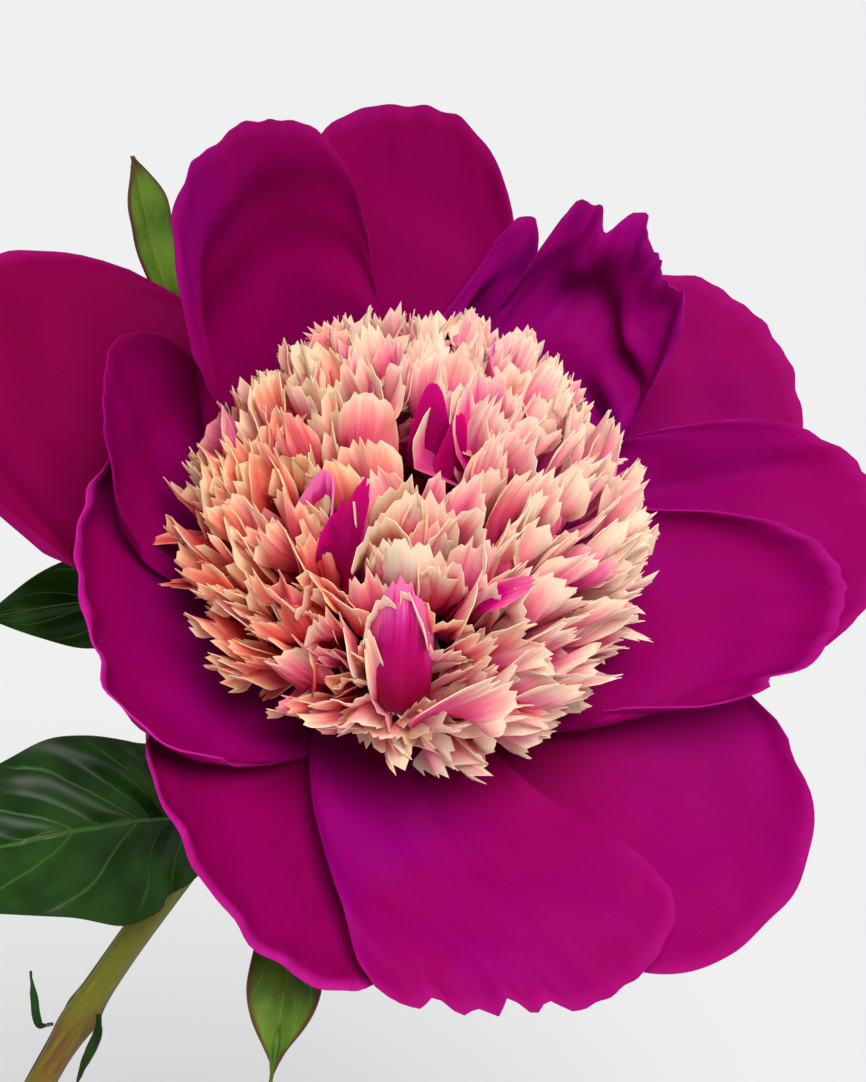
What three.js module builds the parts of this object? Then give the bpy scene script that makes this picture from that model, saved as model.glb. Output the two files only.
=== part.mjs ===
// A single anemone-form peony standing in a plain bottle-shaped bud vase.
//
// Units are millimetres, +Z is up, and the origin is the centre of the vase's flat foot. The bloom leans out
// to +X on a curved stem and faces -Y and up. It has its own frame: +Z along the axis that it faces, +X
// to the right and +Y up as a viewer in front sees it, with azimuths counted counter-clockwise from +X.

import * as THREE from "three";

// ---------------------------------------------------------------- driving dimensions

const GAP = 0.3; // clearance between neighbouring pieces

const VASE = {
  footChamfer: 2,
  height: 148,
  wall: 3.6,
  floor: 8,
  innerFloorRadius: 22.4,
  lipFlat: 1, // width of the chamfer on the lip's outer edge
  outlineSteps: 16,
  sides: 32,
};

// Radius and height of the points that the vase's outer curve runs through, from the foot to the lip.
const VASE_OUTLINE = [
  [29, 2], // above the foot's chamfer
  [38, 17.6],
  [42, 42], // belly
  [33, 70],
  [18, 94], // shoulder
  [14.5, 116], // neck
  [14.9, 136],
  [18, 147], // lip
];

const STEM = {
  footRadius: 3.0,
  topRadius: 4.2,
  sides: 10,
  steps: 34,
  joint: 0.616, // share of its length at which the shoots leave
  swelling: 0.9, // extra radius there
  swellingReach: 6, // and how far along the stem it fades
  thickens: 0.75, // share of its length from which it thickens to the top
};

// The stem's course from the vase's floor; it ends along the bloom's axis, just under the receptacle.
const STEM_ROUTE = [
  [-17.5, -2, 8.5],
  [-7.5, -1, 72],
  [5.6, 0.6, 134],
  [10.8, 2, 158],
  [22.8, 4, 185.5],
  [51.3, 4, 230.6],
  [75, 2.5, 262],
];
const STEM_STRAIGHT_END = 13; // length of the end that follows the bloom's axis

const BLOOM = {
  base: new THREE.Vector3(96, -24, 300), // middle of the flower plane, where the lowest petals start
  facing: new THREE.Vector3(0.1, -0.702, 0.703),
};

const RECEPTACLE = { depth: 10, rim: 0.8, shoulderRadius: 8, shoulderRise: 2, sides: 24 };

const PETAL = {
  thickness: 0.8,
  baseRadius: 12, // where the claws of layer 0 start
  baseStep: -1, // each layer starts this much nearer the axis
  layerStep: 1.6, // and this much higher
  startPerLayer: 2.2, // degrees of slope that each layer's claw has more than the one below
  bendStart: 10, // distance along the petal where its slope starts to change
  bendEnd: 62, // and where it has reached the final one
  sweepEnd: 0.9, // share of the length at which its sweep is complete
  steps: 20, // pieces that the bend is added up from
  along: 7,
  across: 8,
};

// Slopes of the petals in degrees above the flower plane: where the claws leave, and the final slope for the
// outermost layer (0) and for the innermost (3).
const RISE = [
  { azimuth: 0, start: 4, outer: 8, inner: 24 },
  { azimuth: 45, start: 6, outer: 18, inner: 50 },
  { azimuth: 90, start: 10, outer: 36, inner: 62 },
  { azimuth: 135, start: 12, outer: 26, inner: 70 },
  { azimuth: 180, start: 12, outer: 42, inner: 84 },
  { azimuth: 225, start: 8, outer: 46, inner: 60 },
  { azimuth: 270, start: 1, outer: 6, inner: 14 },
  { azimuth: 315, start: 1, outer: 2, inner: 14 },
];

// Guard petals, each with its azimuth at the claw, the sweep that its end turns further round, its layer and
// its length; wide: half-widths on the clockwise and the counter-clockwise side; full: share of the length
// where it is widest; shoulder: share where the sides turn into the rounded end; round: how square that end is.
const GUARD_PETALS = [
  {
    name: "outer_petal_left", azimuth: 154, sweep: 0, layer: -0.8, length: 90,
    wide: [31, 31], full: 0.65, shoulder: 0.62, round: 2.4,
  },
  {
    name: "outer_petal_top", azimuth: 92, sweep: 0, layer: 0.6, length: 83,
    wide: [24, 25], full: 0.65, shoulder: 0.62, round: 2.3,
  },
  {
    name: "outer_petal_upper_right", azimuth: 38, sweep: 0, layer: 0, length: 77,
    wide: [28, 28], full: 0.65, shoulder: 0.62, round: 2.6,
  },
  {
    name: "outer_petal_lower_right", azimuth: 316, sweep: 0, layer: -0.8, length: 77,
    wide: [31, 31], full: 0.6, shoulder: 0.62, round: 2.6,
  },
  {
    name: "outer_petal_lower_left", azimuth: 250, sweep: 0, layer: 0, length: 70,
    wide: [32, 32], full: 0.6, shoulder: 0.62, round: 2.6,
  },
  {
    name: "middle_petal_right", azimuth: 8, sweep: 0, layer: 1.2, length: 80,
    wide: [27, 25], full: 0.6, shoulder: 0.6, round: 2.3,
  },
  {
    name: "middle_petal_left", azimuth: 198, sweep: 0, layer: 1.2, length: 63,
    wide: [32, 30], full: 0.6, shoulder: 0.75, round: 3,
  },
  {
    name: "inner_petal_upper_left", azimuth: 130, sweep: -4, layer: 3.2, length: 96,
    wide: [23, 23], full: 0.6, shoulder: 0.66, round: 2.3,
  },
  {
    name: "inner_petal_left", azimuth: 163, sweep: 0, layer: 2.2, length: 72,
    wide: [20, 18], full: 0.6, shoulder: 0.66, round: 2.3,
  },
  {
    name: "inner_petal_right", azimuth: 330, sweep: 26, layer: 2.4, length: 72,
    wide: [21, 17], full: 0.45, shoulder: 0.5, round: 2,
  },
  {
    name: "inner_petal_bottom", azimuth: 257, sweep: 28, layer: 1.8, length: 75,
    wide: [33, 34], full: 0.6, shoulder: 0.66, round: 2.6,
  },
  {
    name: "frilled_petal_top", azimuth: 77, sweep: -4, layer: 2.2, length: 68,
    wide: [9, 10], full: 0.6, shoulder: 0.5, round: 1.8,
  },
  {
    name: "frilled_petal_upper_right", azimuth: 53, sweep: 0, layer: 3.2, length: 76,
    wide: [15, 15], full: 0.6, shoulder: 0.7, round: 2.2,
  },
];
const CLAW_HALF_WIDTH = 4;

const SEPALS = {
  count: 5,
  layer: -1.9,
  azimuth: 20,
  length: 22,
  half: 9,
  full: 0.55,
  shoulder: 0.5,
  round: 2,
};

// The jagged heart of the bloom: cups of narrow petals that fan from the receptacle to a ball.
const HEART = {
  radius: 43,
  centre: 26, // height of the ball's centre over the flower plane
  firstRadius: 1.2, // where the innermost cup starts on the receptacle
  pitch: 1.08, // and how much further out each next one starts
  baseHeight: 9.6, // height of the innermost start
  baseFall: 0.5, // and how much lower each next one is
  reach: [13, 33, 53, 73, 93, 112], // angle from the ball's pole that each cup's rim reaches
  leaning: 0.62, // share of that angle at which the cup already leans where it starts
  bulge: 0.45, // how far the cup keeps to that first direction
  lift: 26, // degrees by which the lowest rim is higher beside the steepest guard petals
  liftAzimuth: 128,
  wall: 0.7,
  teeth: 15,
  toothDepth: 0.16, // as a share of the cup's length
  unevenness: 0.3, // share of that depth which varies round the cup
  along: 4,
};

// Magenta petals that stand among the cups, in the free ring after the second one.
const HEART_PETALS = {
  ring: 2, // place in the row of starts
  layerAngle: 43, // angle from the pole that they reach
  length: 0.9, // share of the way to the ball
  clawHalf: 1.4, // half-width where they start
  full: 0.7, // share of their length at which they are widest
  shoulder: 0.75, // share where the sides turn into the rounded end
  items: [
    { name: "heart_petal_front", azimuth: 268, half: 7 },
    { name: "heart_petal_left", azimuth: 182, half: 5.5 },
    { name: "heart_petal_back", azimuth: 64, half: 6 },
  ],
};

// Leaves and small shoots. Each leaves the stem at a share of its length in the direction of out, and
// follows its spine; side: direction of the blade's left half; half: widest half-width; petiole: share of the
// length that is only a stalk; widest: share where it is widest; taper: how hollow the sides run to the tip;
// fold: how far the halves rise from the midrib.
const LEAVES = [
  {
    name: "large_leaf", at: 0.79, out: [-0.75, -0.55, 0.35],
    spine: [[51, -1, 245], [44, -2, 246], [28, -3, 244], [8, -5, 240], [-13, -4, 233]],
    side: [0.05, 0.3, 0.95], half: 19, petiole: 0.14, widest: 0.48, taper: 0.8, fold: 0.1,
  },
  {
    name: "narrow_leaf", at: 0.87, out: [-0.6, 0.6, 0.5],
    spine: [[66, 8, 279], [52, 6, 289], [36, -3, 294], [17, -11, 294]],
    side: [-0.1, 0.3, 0.95], half: 9, petiole: 0.4, widest: 0.72, taper: 1, fold: 0.15,
  },
  {
    name: "shoot_left", at: 0.607, out: [-0.85, -0.2, 0.45],
    spine: [[21, 3, 199], [20, 2.5, 208.5]],
    side: [1, 0, 0.2], half: 1.8, petiole: 0.2, widest: 0.6, taper: 1, fold: 0.2,
  },
  {
    name: "shoot_right", at: 0.625, out: [0.8, -0.6, 0],
    spine: [[33.8, -0.6, 194], [31.5, -2, 184.5]],
    side: [1, 0, -0.2], half: 2, petiole: 0.2, widest: 0.6, taper: 1, fold: 0.2,
  },
];

// Leafy bracts under the bloom, in its frame: each spine point is an azimuth, a radius and a height.
const BRACTS = [
  {
    name: "bract_upper_left",
    spine: [
      [135, 11.1, -6.3], [134, 25, -5.5], [131, 50, -1], [127, 78, 10.9], [125.5, 86, 17.8], [124, 94, 24],
    ],
    half: 5, petiole: 0.3, widest: 0.8, taper: 1.2, fold: 0.3,
  },
  {
    name: "bract_bottom",
    spine: [
      [250, 11.1, -6.3], [250.5, 30, -8], [252, 55, -5.5], [254, 76, -5], [255.5, 86, -9], [256.5, 94, -15],
    ],
    half: 9, petiole: 0.3, widest: 0.66, taper: 1.7, fold: 0.2,
  },
];
const LEAF = {
  thickness: 0.8,
  stalkHalf: 0.9, // half-width of the stalk
  tipHalf: 0.03, // least half-width at the tip, as a share of the widest
  rounding: 0.8, // how round the blade opens from the stalk
  across: 4,
  along: 9,
};

// ---------------------------------------------------------------- small helpers

const radians = THREE.MathUtils.degToRad;
const degrees = THREE.MathUtils.radToDeg;
const mix = THREE.MathUtils.lerp;
const smooth = (x) => THREE.MathUtils.smoothstep(x, 0, 1);
const vector = (v) => new THREE.Vector3(...v);

// Moves every vertex of a geometry to place(x, y, z).
function reshape(geometry, place) {
  const position = geometry.getAttribute("position");
  for (let i = 0; i < position.count; i += 1) {
    const p = place(position.getX(i), position.getY(i), position.getZ(i));
    position.setXYZ(i, p.x, p.y, p.z);
  }
  geometry.computeVertexNormals();
  return geometry;
}

// The unit normal of surface(a, b), on the side from which a runs right and b runs up.
function normalOf(surface, a, b) {
  const step = 1e-3;
  const alongA = surface(a + step, b).sub(surface(a - step, b));
  const alongB = surface(a, b + step).sub(surface(a, b - step));
  return alongA.cross(alongB).normalize();
}

// A thin closed sheet around surface(s, t), with s from -1 to 1 across and t from 0 to 1 along.
function sheet(surface, thickness, across, along) {
  return reshape(new THREE.BoxGeometry(2, 1, 1, across, along, 1), (s, y, side) => {
    const t = y + 0.5;
    return surface(s, t).addScaledVector(normalOf(surface, s, t), side * thickness);
  });
}

function piece(name, geometry, material) {
  const mesh = new THREE.Mesh(geometry, material);
  mesh.name = name;
  return mesh;
}

const MATERIALS = {
  glaze: new THREE.MeshStandardMaterial({ color: 0xf1eee6, roughness: 0.25, metalness: 0 }),
  stem: new THREE.MeshStandardMaterial({ color: 0x77762e, roughness: 0.55, metalness: 0 }),
  leaf: new THREE.MeshStandardMaterial({ color: 0x1f5a26, roughness: 0.4, metalness: 0 }),
  bract: new THREE.MeshStandardMaterial({ color: 0x4f7a2c, roughness: 0.5, metalness: 0 }),
  petal: new THREE.MeshStandardMaterial({ color: 0x9c0a6b, roughness: 0.6, metalness: 0 }),
  heart: new THREE.MeshStandardMaterial({ color: 0xf0b48c, roughness: 0.65, metalness: 0 }),
  heartPetal: new THREE.MeshStandardMaterial({ color: 0xb81f74, roughness: 0.6, metalness: 0 }),
};

// ---------------------------------------------------------------- vase

// A bottle: a flat foot, a round belly, a slim neck and a turned-out lip, hollow above a thick floor.
function vaseGeometry() {
  const v = VASE;
  const [footRadius] = VASE_OUTLINE[0];
  const [lipRadius] = VASE_OUTLINE[VASE_OUTLINE.length - 1];
  const outside = new THREE.CatmullRomCurve3(VASE_OUTLINE.map(([r, z]) => new THREE.Vector3(r, z, 0)));
  const outer = outside.getPoints(v.outlineSteps);
  const inner = outer
    .filter((p) => p.y > v.floor + v.wall && p.y < v.height - v.wall)
    .map((p) => new THREE.Vector2(p.x - v.wall, p.y))
    .reverse();
  const profile = [
    new THREE.Vector2(0, 0),
    new THREE.Vector2(footRadius - v.footChamfer, 0),
    ...outer.map((p) => new THREE.Vector2(p.x, p.y)),
    new THREE.Vector2(lipRadius - v.lipFlat, v.height),
    new THREE.Vector2(lipRadius - v.wall + v.lipFlat / 2, v.height - v.lipFlat / 2),
    ...inner,
    new THREE.Vector2(v.innerFloorRadius, v.floor),
    new THREE.Vector2(0, v.floor),
  ];
  return new THREE.LatheGeometry(profile, v.sides).rotateX(Math.PI / 2);
}

// ---------------------------------------------------------------- stem and receptacle

const outward = BLOOM.facing.clone().normalize();
const underBloom = (depth) => BLOOM.base.clone().addScaledVector(outward, -depth);
const stemCurve = new THREE.CatmullRomCurve3([
  ...STEM_ROUTE.map(vector),
  underBloom(RECEPTACLE.depth + GAP + STEM_STRAIGHT_END),
  underBloom(RECEPTACLE.depth + GAP),
]);

// The stem is thicker under the bloom and swollen at the joint of the shoots.
function stemRadius(t) {
  const away = ((t - STEM.joint) * stemCurve.getLength()) / STEM.swellingReach;
  const top = smooth((t - STEM.thickens) / (1 - STEM.thickens));
  return mix(STEM.footRadius, STEM.topRadius, top) + STEM.swelling * Math.exp(-away * away);
}

// A round rod along the route.
function stemGeometry() {
  const rod = new THREE.CylinderGeometry(1, 1, 1, STEM.sides, STEM.steps);
  return reshape(rod, (x, y, z) => {
    const t = y + 0.5;
    const tangent = stemCurve.getTangentAt(t);
    const right = new THREE.Vector3(0, 1, 0).cross(tangent).normalize();
    const back = tangent.clone().cross(right);
    const radius = stemRadius(t);
    return stemCurve.getPointAt(t).addScaledVector(right, -x * radius).addScaledVector(back, z * radius);
  });
}

// The cup that joins the stem to the petals, in the bloom's frame; its top steps in where the claws sit.
function receptacleGeometry() {
  const heartSeat = (ring) => HEART.baseHeight - HEART.baseFall * ring - GAP;
  const seat = (layer) => new THREE.Vector2(
    PETAL.baseRadius + PETAL.baseStep * layer - GAP - PETAL.thickness * 0.2,
    PETAL.layerStep * layer,
  );
  const heartRings = HEART.reach.length + 0.6;
  const profile = [
    new THREE.Vector2(0, -RECEPTACLE.depth),
    new THREE.Vector2(STEM.topRadius + RECEPTACLE.rim, -RECEPTACLE.depth),
    new THREE.Vector2(RECEPTACLE.shoulderRadius, RECEPTACLE.shoulderRise - RECEPTACLE.depth),
    seat(-2),
    seat(-1),
    seat(0),
    seat(2),
    new THREE.Vector2(HEART.firstRadius + HEART.pitch * heartRings, heartSeat(heartRings)),
    new THREE.Vector2(0, heartSeat(0)),
  ];
  return new THREE.LatheGeometry(profile, RECEPTACLE.sides).rotateX(Math.PI / 2);
}

// ---------------------------------------------------------------- petals

// The slopes at an azimuth for a layer, blended between the entries of RISE around the flower.
function slopesAt(azimuth, layer) {
  const step = 360 / RISE.length;
  const turn = THREE.MathUtils.euclideanModulo(azimuth, 360);
  const k = Math.floor(turn / step);
  const a = RISE[k];
  const b = RISE[(k + 1) % RISE.length];
  const x = smooth(turn / step - k);
  const last = mix(mix(a.outer, b.outer, x), mix(a.inner, b.inner, x), layer / 3);
  return { first: mix(a.start, b.start, x) + PETAL.startPerLayer * layer, last };
}

// Radius, height and slope of the bowl that a layer's petals lie in, at a distance along it.
function bowl(distance, azimuth, layer) {
  const { first, last } = slopesAt(azimuth, layer);
  const { steps } = PETAL;
  let r = PETAL.baseRadius + PETAL.baseStep * layer;
  let z = PETAL.layerStep * layer;
  for (let i = 0; i < steps; i += 1) {
    const at = (distance * (i + 0.5)) / steps;
    const bend = smooth((at - PETAL.bendStart) / (PETAL.bendEnd - PETAL.bendStart));
    const slope = radians(mix(first, last, bend));
    r += (Math.cos(slope) * distance) / steps;
    z += (Math.sin(slope) * distance) / steps;
  }
  return { r, z };
}

// The middle surface of a guard petal or a sepal, in the bloom's frame.
function petalSurface(p) {
  return (s, t) => {
    const end = (1 - Math.min(1, Math.abs(s)) ** p.round) ** (1 / p.round);
    const distance = t * p.length * mix(p.shoulder, 1, end);
    const widest = s < 0 ? p.wide[0] : p.wide[1];
    const half = mix(CLAW_HALF_WIDTH, widest, Math.sin((Math.PI / 2) * Math.min(1, t / p.full)));
    const centre = p.azimuth + p.sweep * smooth(t / PETAL.sweepEnd);
    const azimuth = centre + degrees((s * half) / bowl(distance, centre, p.layer).r);
    const { r, z } = bowl(distance, azimuth, p.layer);
    const turn = radians(azimuth);
    return new THREE.Vector3(r * Math.cos(turn), r * Math.sin(turn), z);
  };
}

// ---------------------------------------------------------------- heart of the bloom

// A point on the way from a start on the receptacle (ring) to the ball, at an angle from its pole, in the
// half-plane of an azimuth. Lower rims are lifted beside the steepest guard petals.
function heartPoint(ring, angle, azimuth, t) {
  const toLift = 0.5 + 0.5 * Math.cos(radians(azimuth - HEART.liftAzimuth));
  const polar = radians(angle - HEART.lift * toLift * (angle / HEART.reach[HEART.reach.length - 1]) ** 2);
  const start = new THREE.Vector2(
    HEART.firstRadius + HEART.pitch * ring,
    HEART.baseHeight - HEART.baseFall * ring,
  );
  const end = new THREE.Vector2(Math.sin(polar), Math.cos(polar)).multiplyScalar(HEART.radius);
  end.y += HEART.centre;
  const leave = radians(90 - angle * HEART.leaning);
  const reach = start.distanceTo(end) * HEART.bulge;
  const out = new THREE.Vector2(Math.cos(leave), Math.sin(leave));
  const control = start.clone().addScaledVector(out, reach);
  const p = new THREE.QuadraticBezierCurve(start, control, end).getPoint(t);
  const turn = radians(azimuth);
  return new THREE.Vector3(p.x * Math.cos(turn), p.x * Math.sin(turn), p.y);
}

// One jagged cup: a closed ring wall that is bent from a flat annulus.
function cupGeometry(ring, angle) {
  const flat = 10;
  const profile = [];
  for (let i = 0; i <= HEART.along; i += 1) profile.push(new THREE.Vector2(flat + i / HEART.along, -0.5));
  for (let i = HEART.along; i >= 0; i -= 1) profile.push(new THREE.Vector2(flat + i / HEART.along, 0.5));
  profile.push(profile[0].clone());
  const annulus = new THREE.LatheGeometry(profile, HEART.teeth * 2).rotateX(Math.PI / 2);
  return reshape(annulus, (x, y, side) => {
    const azimuth = degrees(Math.atan2(y, x));
    const tooth = 0.5 + 0.5 * Math.cos(radians((azimuth + 90) * HEART.teeth));
    const uneven = HEART.unevenness * (Math.sin(radians(azimuth * 4 + angle * 5)) - 1);
    const deep = HEART.toothDepth * (1 + uneven);
    const t = (Math.hypot(x, y) - flat) * (1 - deep * tooth);
    const surface = (a, b) => heartPoint(ring, angle, a, b);
    return surface(azimuth, t).addScaledVector(normalOf(surface, azimuth, t), -side * HEART.wall);
  });
}

// A magenta petal between two cups.
function heartPetalSurface(item) {
  return (s, t) => {
    const end = Math.sqrt(1 - Math.min(1, Math.abs(s)) ** 2);
    const along = t * HEART_PETALS.length * mix(HEART_PETALS.shoulder, 1, end);
    const angle = HEART_PETALS.layerAngle;
    const middle = heartPoint(HEART_PETALS.ring, angle, item.azimuth, along);
    const radius = Math.hypot(middle.x, middle.y);
    const half = mix(HEART_PETALS.clawHalf, item.half, smooth(t / HEART_PETALS.full));
    const azimuth = item.azimuth + degrees((s * half) / radius);
    return heartPoint(HEART_PETALS.ring, angle, azimuth, along);
  };
}

// ---------------------------------------------------------------- leaves

// The spine of a leaf, from just off the stem's skin.
function leafSpine(leaf) {
  const start = stemCurve.getPointAt(leaf.at);
  start.addScaledVector(vector(leaf.out).normalize(), stemRadius(leaf.at) + LEAF.stalkHalf / 2 + GAP);
  return [start, ...leaf.spine.map(vector)];
}

function bractSpine(bract) {
  return bract.spine.map(([azimuth, r, z]) => (
    new THREE.Vector3(r * Math.cos(radians(azimuth)), r * Math.sin(radians(azimuth)), z)
  ));
}

// A blade on a stalk along spine points, folded up from the midrib; side is its left half's direction.
function leafSurface(leaf, points, side) {
  const spine = new THREE.CatmullRomCurve3(points);
  const peak = (leaf.widest - leaf.petiole) / (1 - leaf.petiole);
  return (s, t) => {
    const at = THREE.MathUtils.clamp(t, 0, 1);
    const tangent = spine.getTangent(at);
    const left = side.clone().addScaledVector(tangent, -side.dot(tangent)).normalize();
    const up = tangent.clone().cross(left);
    const x = THREE.MathUtils.clamp((at - leaf.petiole) / (1 - leaf.petiole), 0, 1);
    const opening = Math.sin((Math.PI / 2) * Math.min(1, x / peak)) ** LEAF.rounding;
    const closing = Math.cos((Math.PI / 2) * Math.max(0, (x - peak) / (1 - peak))) ** leaf.taper;
    const blade = mix(LEAF.stalkHalf, leaf.half, opening) * Math.max(closing, LEAF.tipHalf);
    const out = s * blade;
    return spine.getPoint(at).addScaledVector(left, out).addScaledVector(up, Math.abs(out) * leaf.fold);
  };
}

// ---------------------------------------------------------------- assembly

const bloom = new THREE.Group();
const right = new THREE.Vector3(1, 0, 0).addScaledVector(outward, -outward.x).normalize();
const upward = outward.clone().cross(right);
bloom.quaternion.setFromRotationMatrix(new THREE.Matrix4().makeBasis(right, upward, outward));
bloom.position.copy(BLOOM.base);

bloom.add(piece("receptacle", receptacleGeometry(), MATERIALS.bract));

for (let i = 0; i < SEPALS.count; i += 1) {
  const sepal = {
    azimuth: SEPALS.azimuth + (360 / SEPALS.count) * i,
    sweep: 0,
    layer: SEPALS.layer,
    length: SEPALS.length,
    wide: [SEPALS.half, SEPALS.half],
    full: SEPALS.full,
    shoulder: SEPALS.shoulder,
    round: SEPALS.round,
  };
  bloom.add(piece(`sepal_${i + 1}`, sheet(petalSurface(sepal), PETAL.thickness, 4, 4), MATERIALS.bract));
}

for (const p of GUARD_PETALS) {
  const geometry = sheet(petalSurface(p), PETAL.thickness, PETAL.across, PETAL.along);
  bloom.add(piece(p.name, geometry, MATERIALS.petal));
}

HEART.reach.forEach((angle, i) => {
  const ring = i < HEART_PETALS.ring ? i : i + 1;
  bloom.add(piece(`heart_cup_${i + 1}`, cupGeometry(ring, angle), MATERIALS.heart));
});

for (const item of HEART_PETALS.items) {
  bloom.add(piece(item.name, sheet(heartPetalSurface(item), HEART.wall, 4, 5), MATERIALS.heartPetal));
}

for (const bract of BRACTS) {
  const turn = radians(bract.spine[0][0]);
  const side = new THREE.Vector3(-Math.sin(turn), Math.cos(turn), 0);
  const surface = leafSurface(bract, bractSpine(bract), side);
  bloom.add(piece(bract.name, sheet(surface, LEAF.thickness, LEAF.across, LEAF.along), MATERIALS.bract));
}

const flower = new THREE.Group();
flower.add(piece("vase", vaseGeometry(), MATERIALS.glaze));
flower.add(piece("stem", stemGeometry(), MATERIALS.stem));
flower.add(bloom);

for (const leaf of LEAVES) {
  const surface = leafSurface(leaf, leafSpine(leaf), vector(leaf.side).normalize());
  flower.add(piece(leaf.name, sheet(surface, LEAF.thickness, LEAF.across, LEAF.along), MATERIALS.leaf));
}

export default flower;
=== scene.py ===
"""The finished look of one anemone-form peony in a plain bud vase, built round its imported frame.

Shapes are worked out in millimetres and become metres when a piece is placed. The bloom has a frame of its
own: +Z along the axis that it faces, +X to the right and +Y up as seen from the front, with azimuths
counted counter-clockwise from +X.
"""

import logging
import math
import random
from collections.abc import Callable, Mapping, Sequence
from dataclasses import dataclass, field, replace
from enum import Enum
from typing import ClassVar

import bmesh
import bpy
import numpy as np
from bpy.types import Material, Node, NodeSocket, Object
from mathutils import Matrix, Vector


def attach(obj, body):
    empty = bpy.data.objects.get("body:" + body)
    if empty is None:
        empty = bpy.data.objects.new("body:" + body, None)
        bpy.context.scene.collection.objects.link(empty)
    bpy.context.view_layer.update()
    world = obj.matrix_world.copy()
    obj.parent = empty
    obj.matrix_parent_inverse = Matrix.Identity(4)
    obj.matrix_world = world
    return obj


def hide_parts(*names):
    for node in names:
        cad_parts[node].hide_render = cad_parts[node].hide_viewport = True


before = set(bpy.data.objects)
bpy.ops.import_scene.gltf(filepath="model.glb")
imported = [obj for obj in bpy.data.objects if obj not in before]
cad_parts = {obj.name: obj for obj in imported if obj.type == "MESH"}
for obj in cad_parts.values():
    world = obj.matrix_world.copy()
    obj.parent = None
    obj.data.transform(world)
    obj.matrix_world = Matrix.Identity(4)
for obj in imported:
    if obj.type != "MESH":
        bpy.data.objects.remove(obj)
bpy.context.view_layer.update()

LOG = logging.getLogger("peony")
MM = 0.001
BODY = "root"
SHEET_CREASE = 70.0  # an edge stays sharp past this angle in degrees, on grown pieces
TURNED_CREASE = 50.0  # and on turned ones
WELD = 1e-6  # vertices closer than this, in metres, become one
NUDGE = 1e-3  # the step in s or t that gives a slope
WAVE_TRAINS = 5  # sines that add up to one pattern of waves
GOLDEN_ANGLE = 137.508  # degrees from one petaloid to the next

Array = np.ndarray
Surface = Callable[[Array, Array], Array]
Colour = tuple[float, float, float]
Triple = tuple[float, float, float]
Span = tuple[float, float]


class Slot(Enum):
    """The material slots of the record."""

    GLAZE = "glaze"
    STEM = "stem"
    LEAF = "leaf"
    BRACT = "bract"
    PETAL = "petal"
    PETALOID = "petaloid"
    HEART_PETAL = "heart_petal"


# ---------------------------------------------------------------- curves and surfaces


def smooth(x: Array | float) -> Array:
    """Eases from 0 to 1 as x runs from 0 to 1."""
    x = np.clip(x, 0, 1)
    return x * x * (3 - 2 * x)


def mix(a: Array | float, b: Array | float, x: Array | float) -> Array:
    """The value a share x of the way from a to b."""
    return a + (b - a) * x


def hump(x: Array, middle: float, half: float) -> Array:
    """A soft hump of height 1 at middle that is about half wide on each side."""
    return np.exp(-(((x - middle) / half) ** 2))


def unit(v: Array) -> Array:
    """Vectors scaled to length 1, along the last axis."""
    return v / np.maximum(np.linalg.norm(v, axis=-1, keepdims=True), 1e-9)


def waves(x: Array, y: Array, seed: int, shortest: float, longest: float) -> Array:
    """Uneven soft waves of height about 1.

    Args:
        x: First coordinate.
        y: Second coordinate.
        seed: Picks one pattern.
        shortest: Shortest wavelength, in the units of x and y.
        longest: Longest wavelength.

    Returns:
        The height at each point.
    """
    dice = random.Random(seed)
    total = np.zeros(np.broadcast(x, y).shape)
    for _ in range(WAVE_TRAINS):
        turn = dice.uniform(0, math.tau)
        pace = math.tau / dice.uniform(shortest, longest)
        total += np.sin((x * math.cos(turn) + y * math.sin(turn)) * pace + dice.uniform(0, math.tau))
    return total / math.sqrt(WAVE_TRAINS)


def upper_normal(surface: Surface, s: Array, t: Array) -> Array:
    """The unit normal of a surface on the side from which s runs left while t runs up.

    Args:
        surface: The surface.
        s: Places across it.
        t: Places along it.

    Returns:
        One normal for each place.
    """
    across = surface(s + NUDGE, t) - surface(s - NUDGE, t)
    along = surface(s, t + NUDGE) - surface(s, t - NUDGE)
    return unit(np.cross(along, across))


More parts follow.
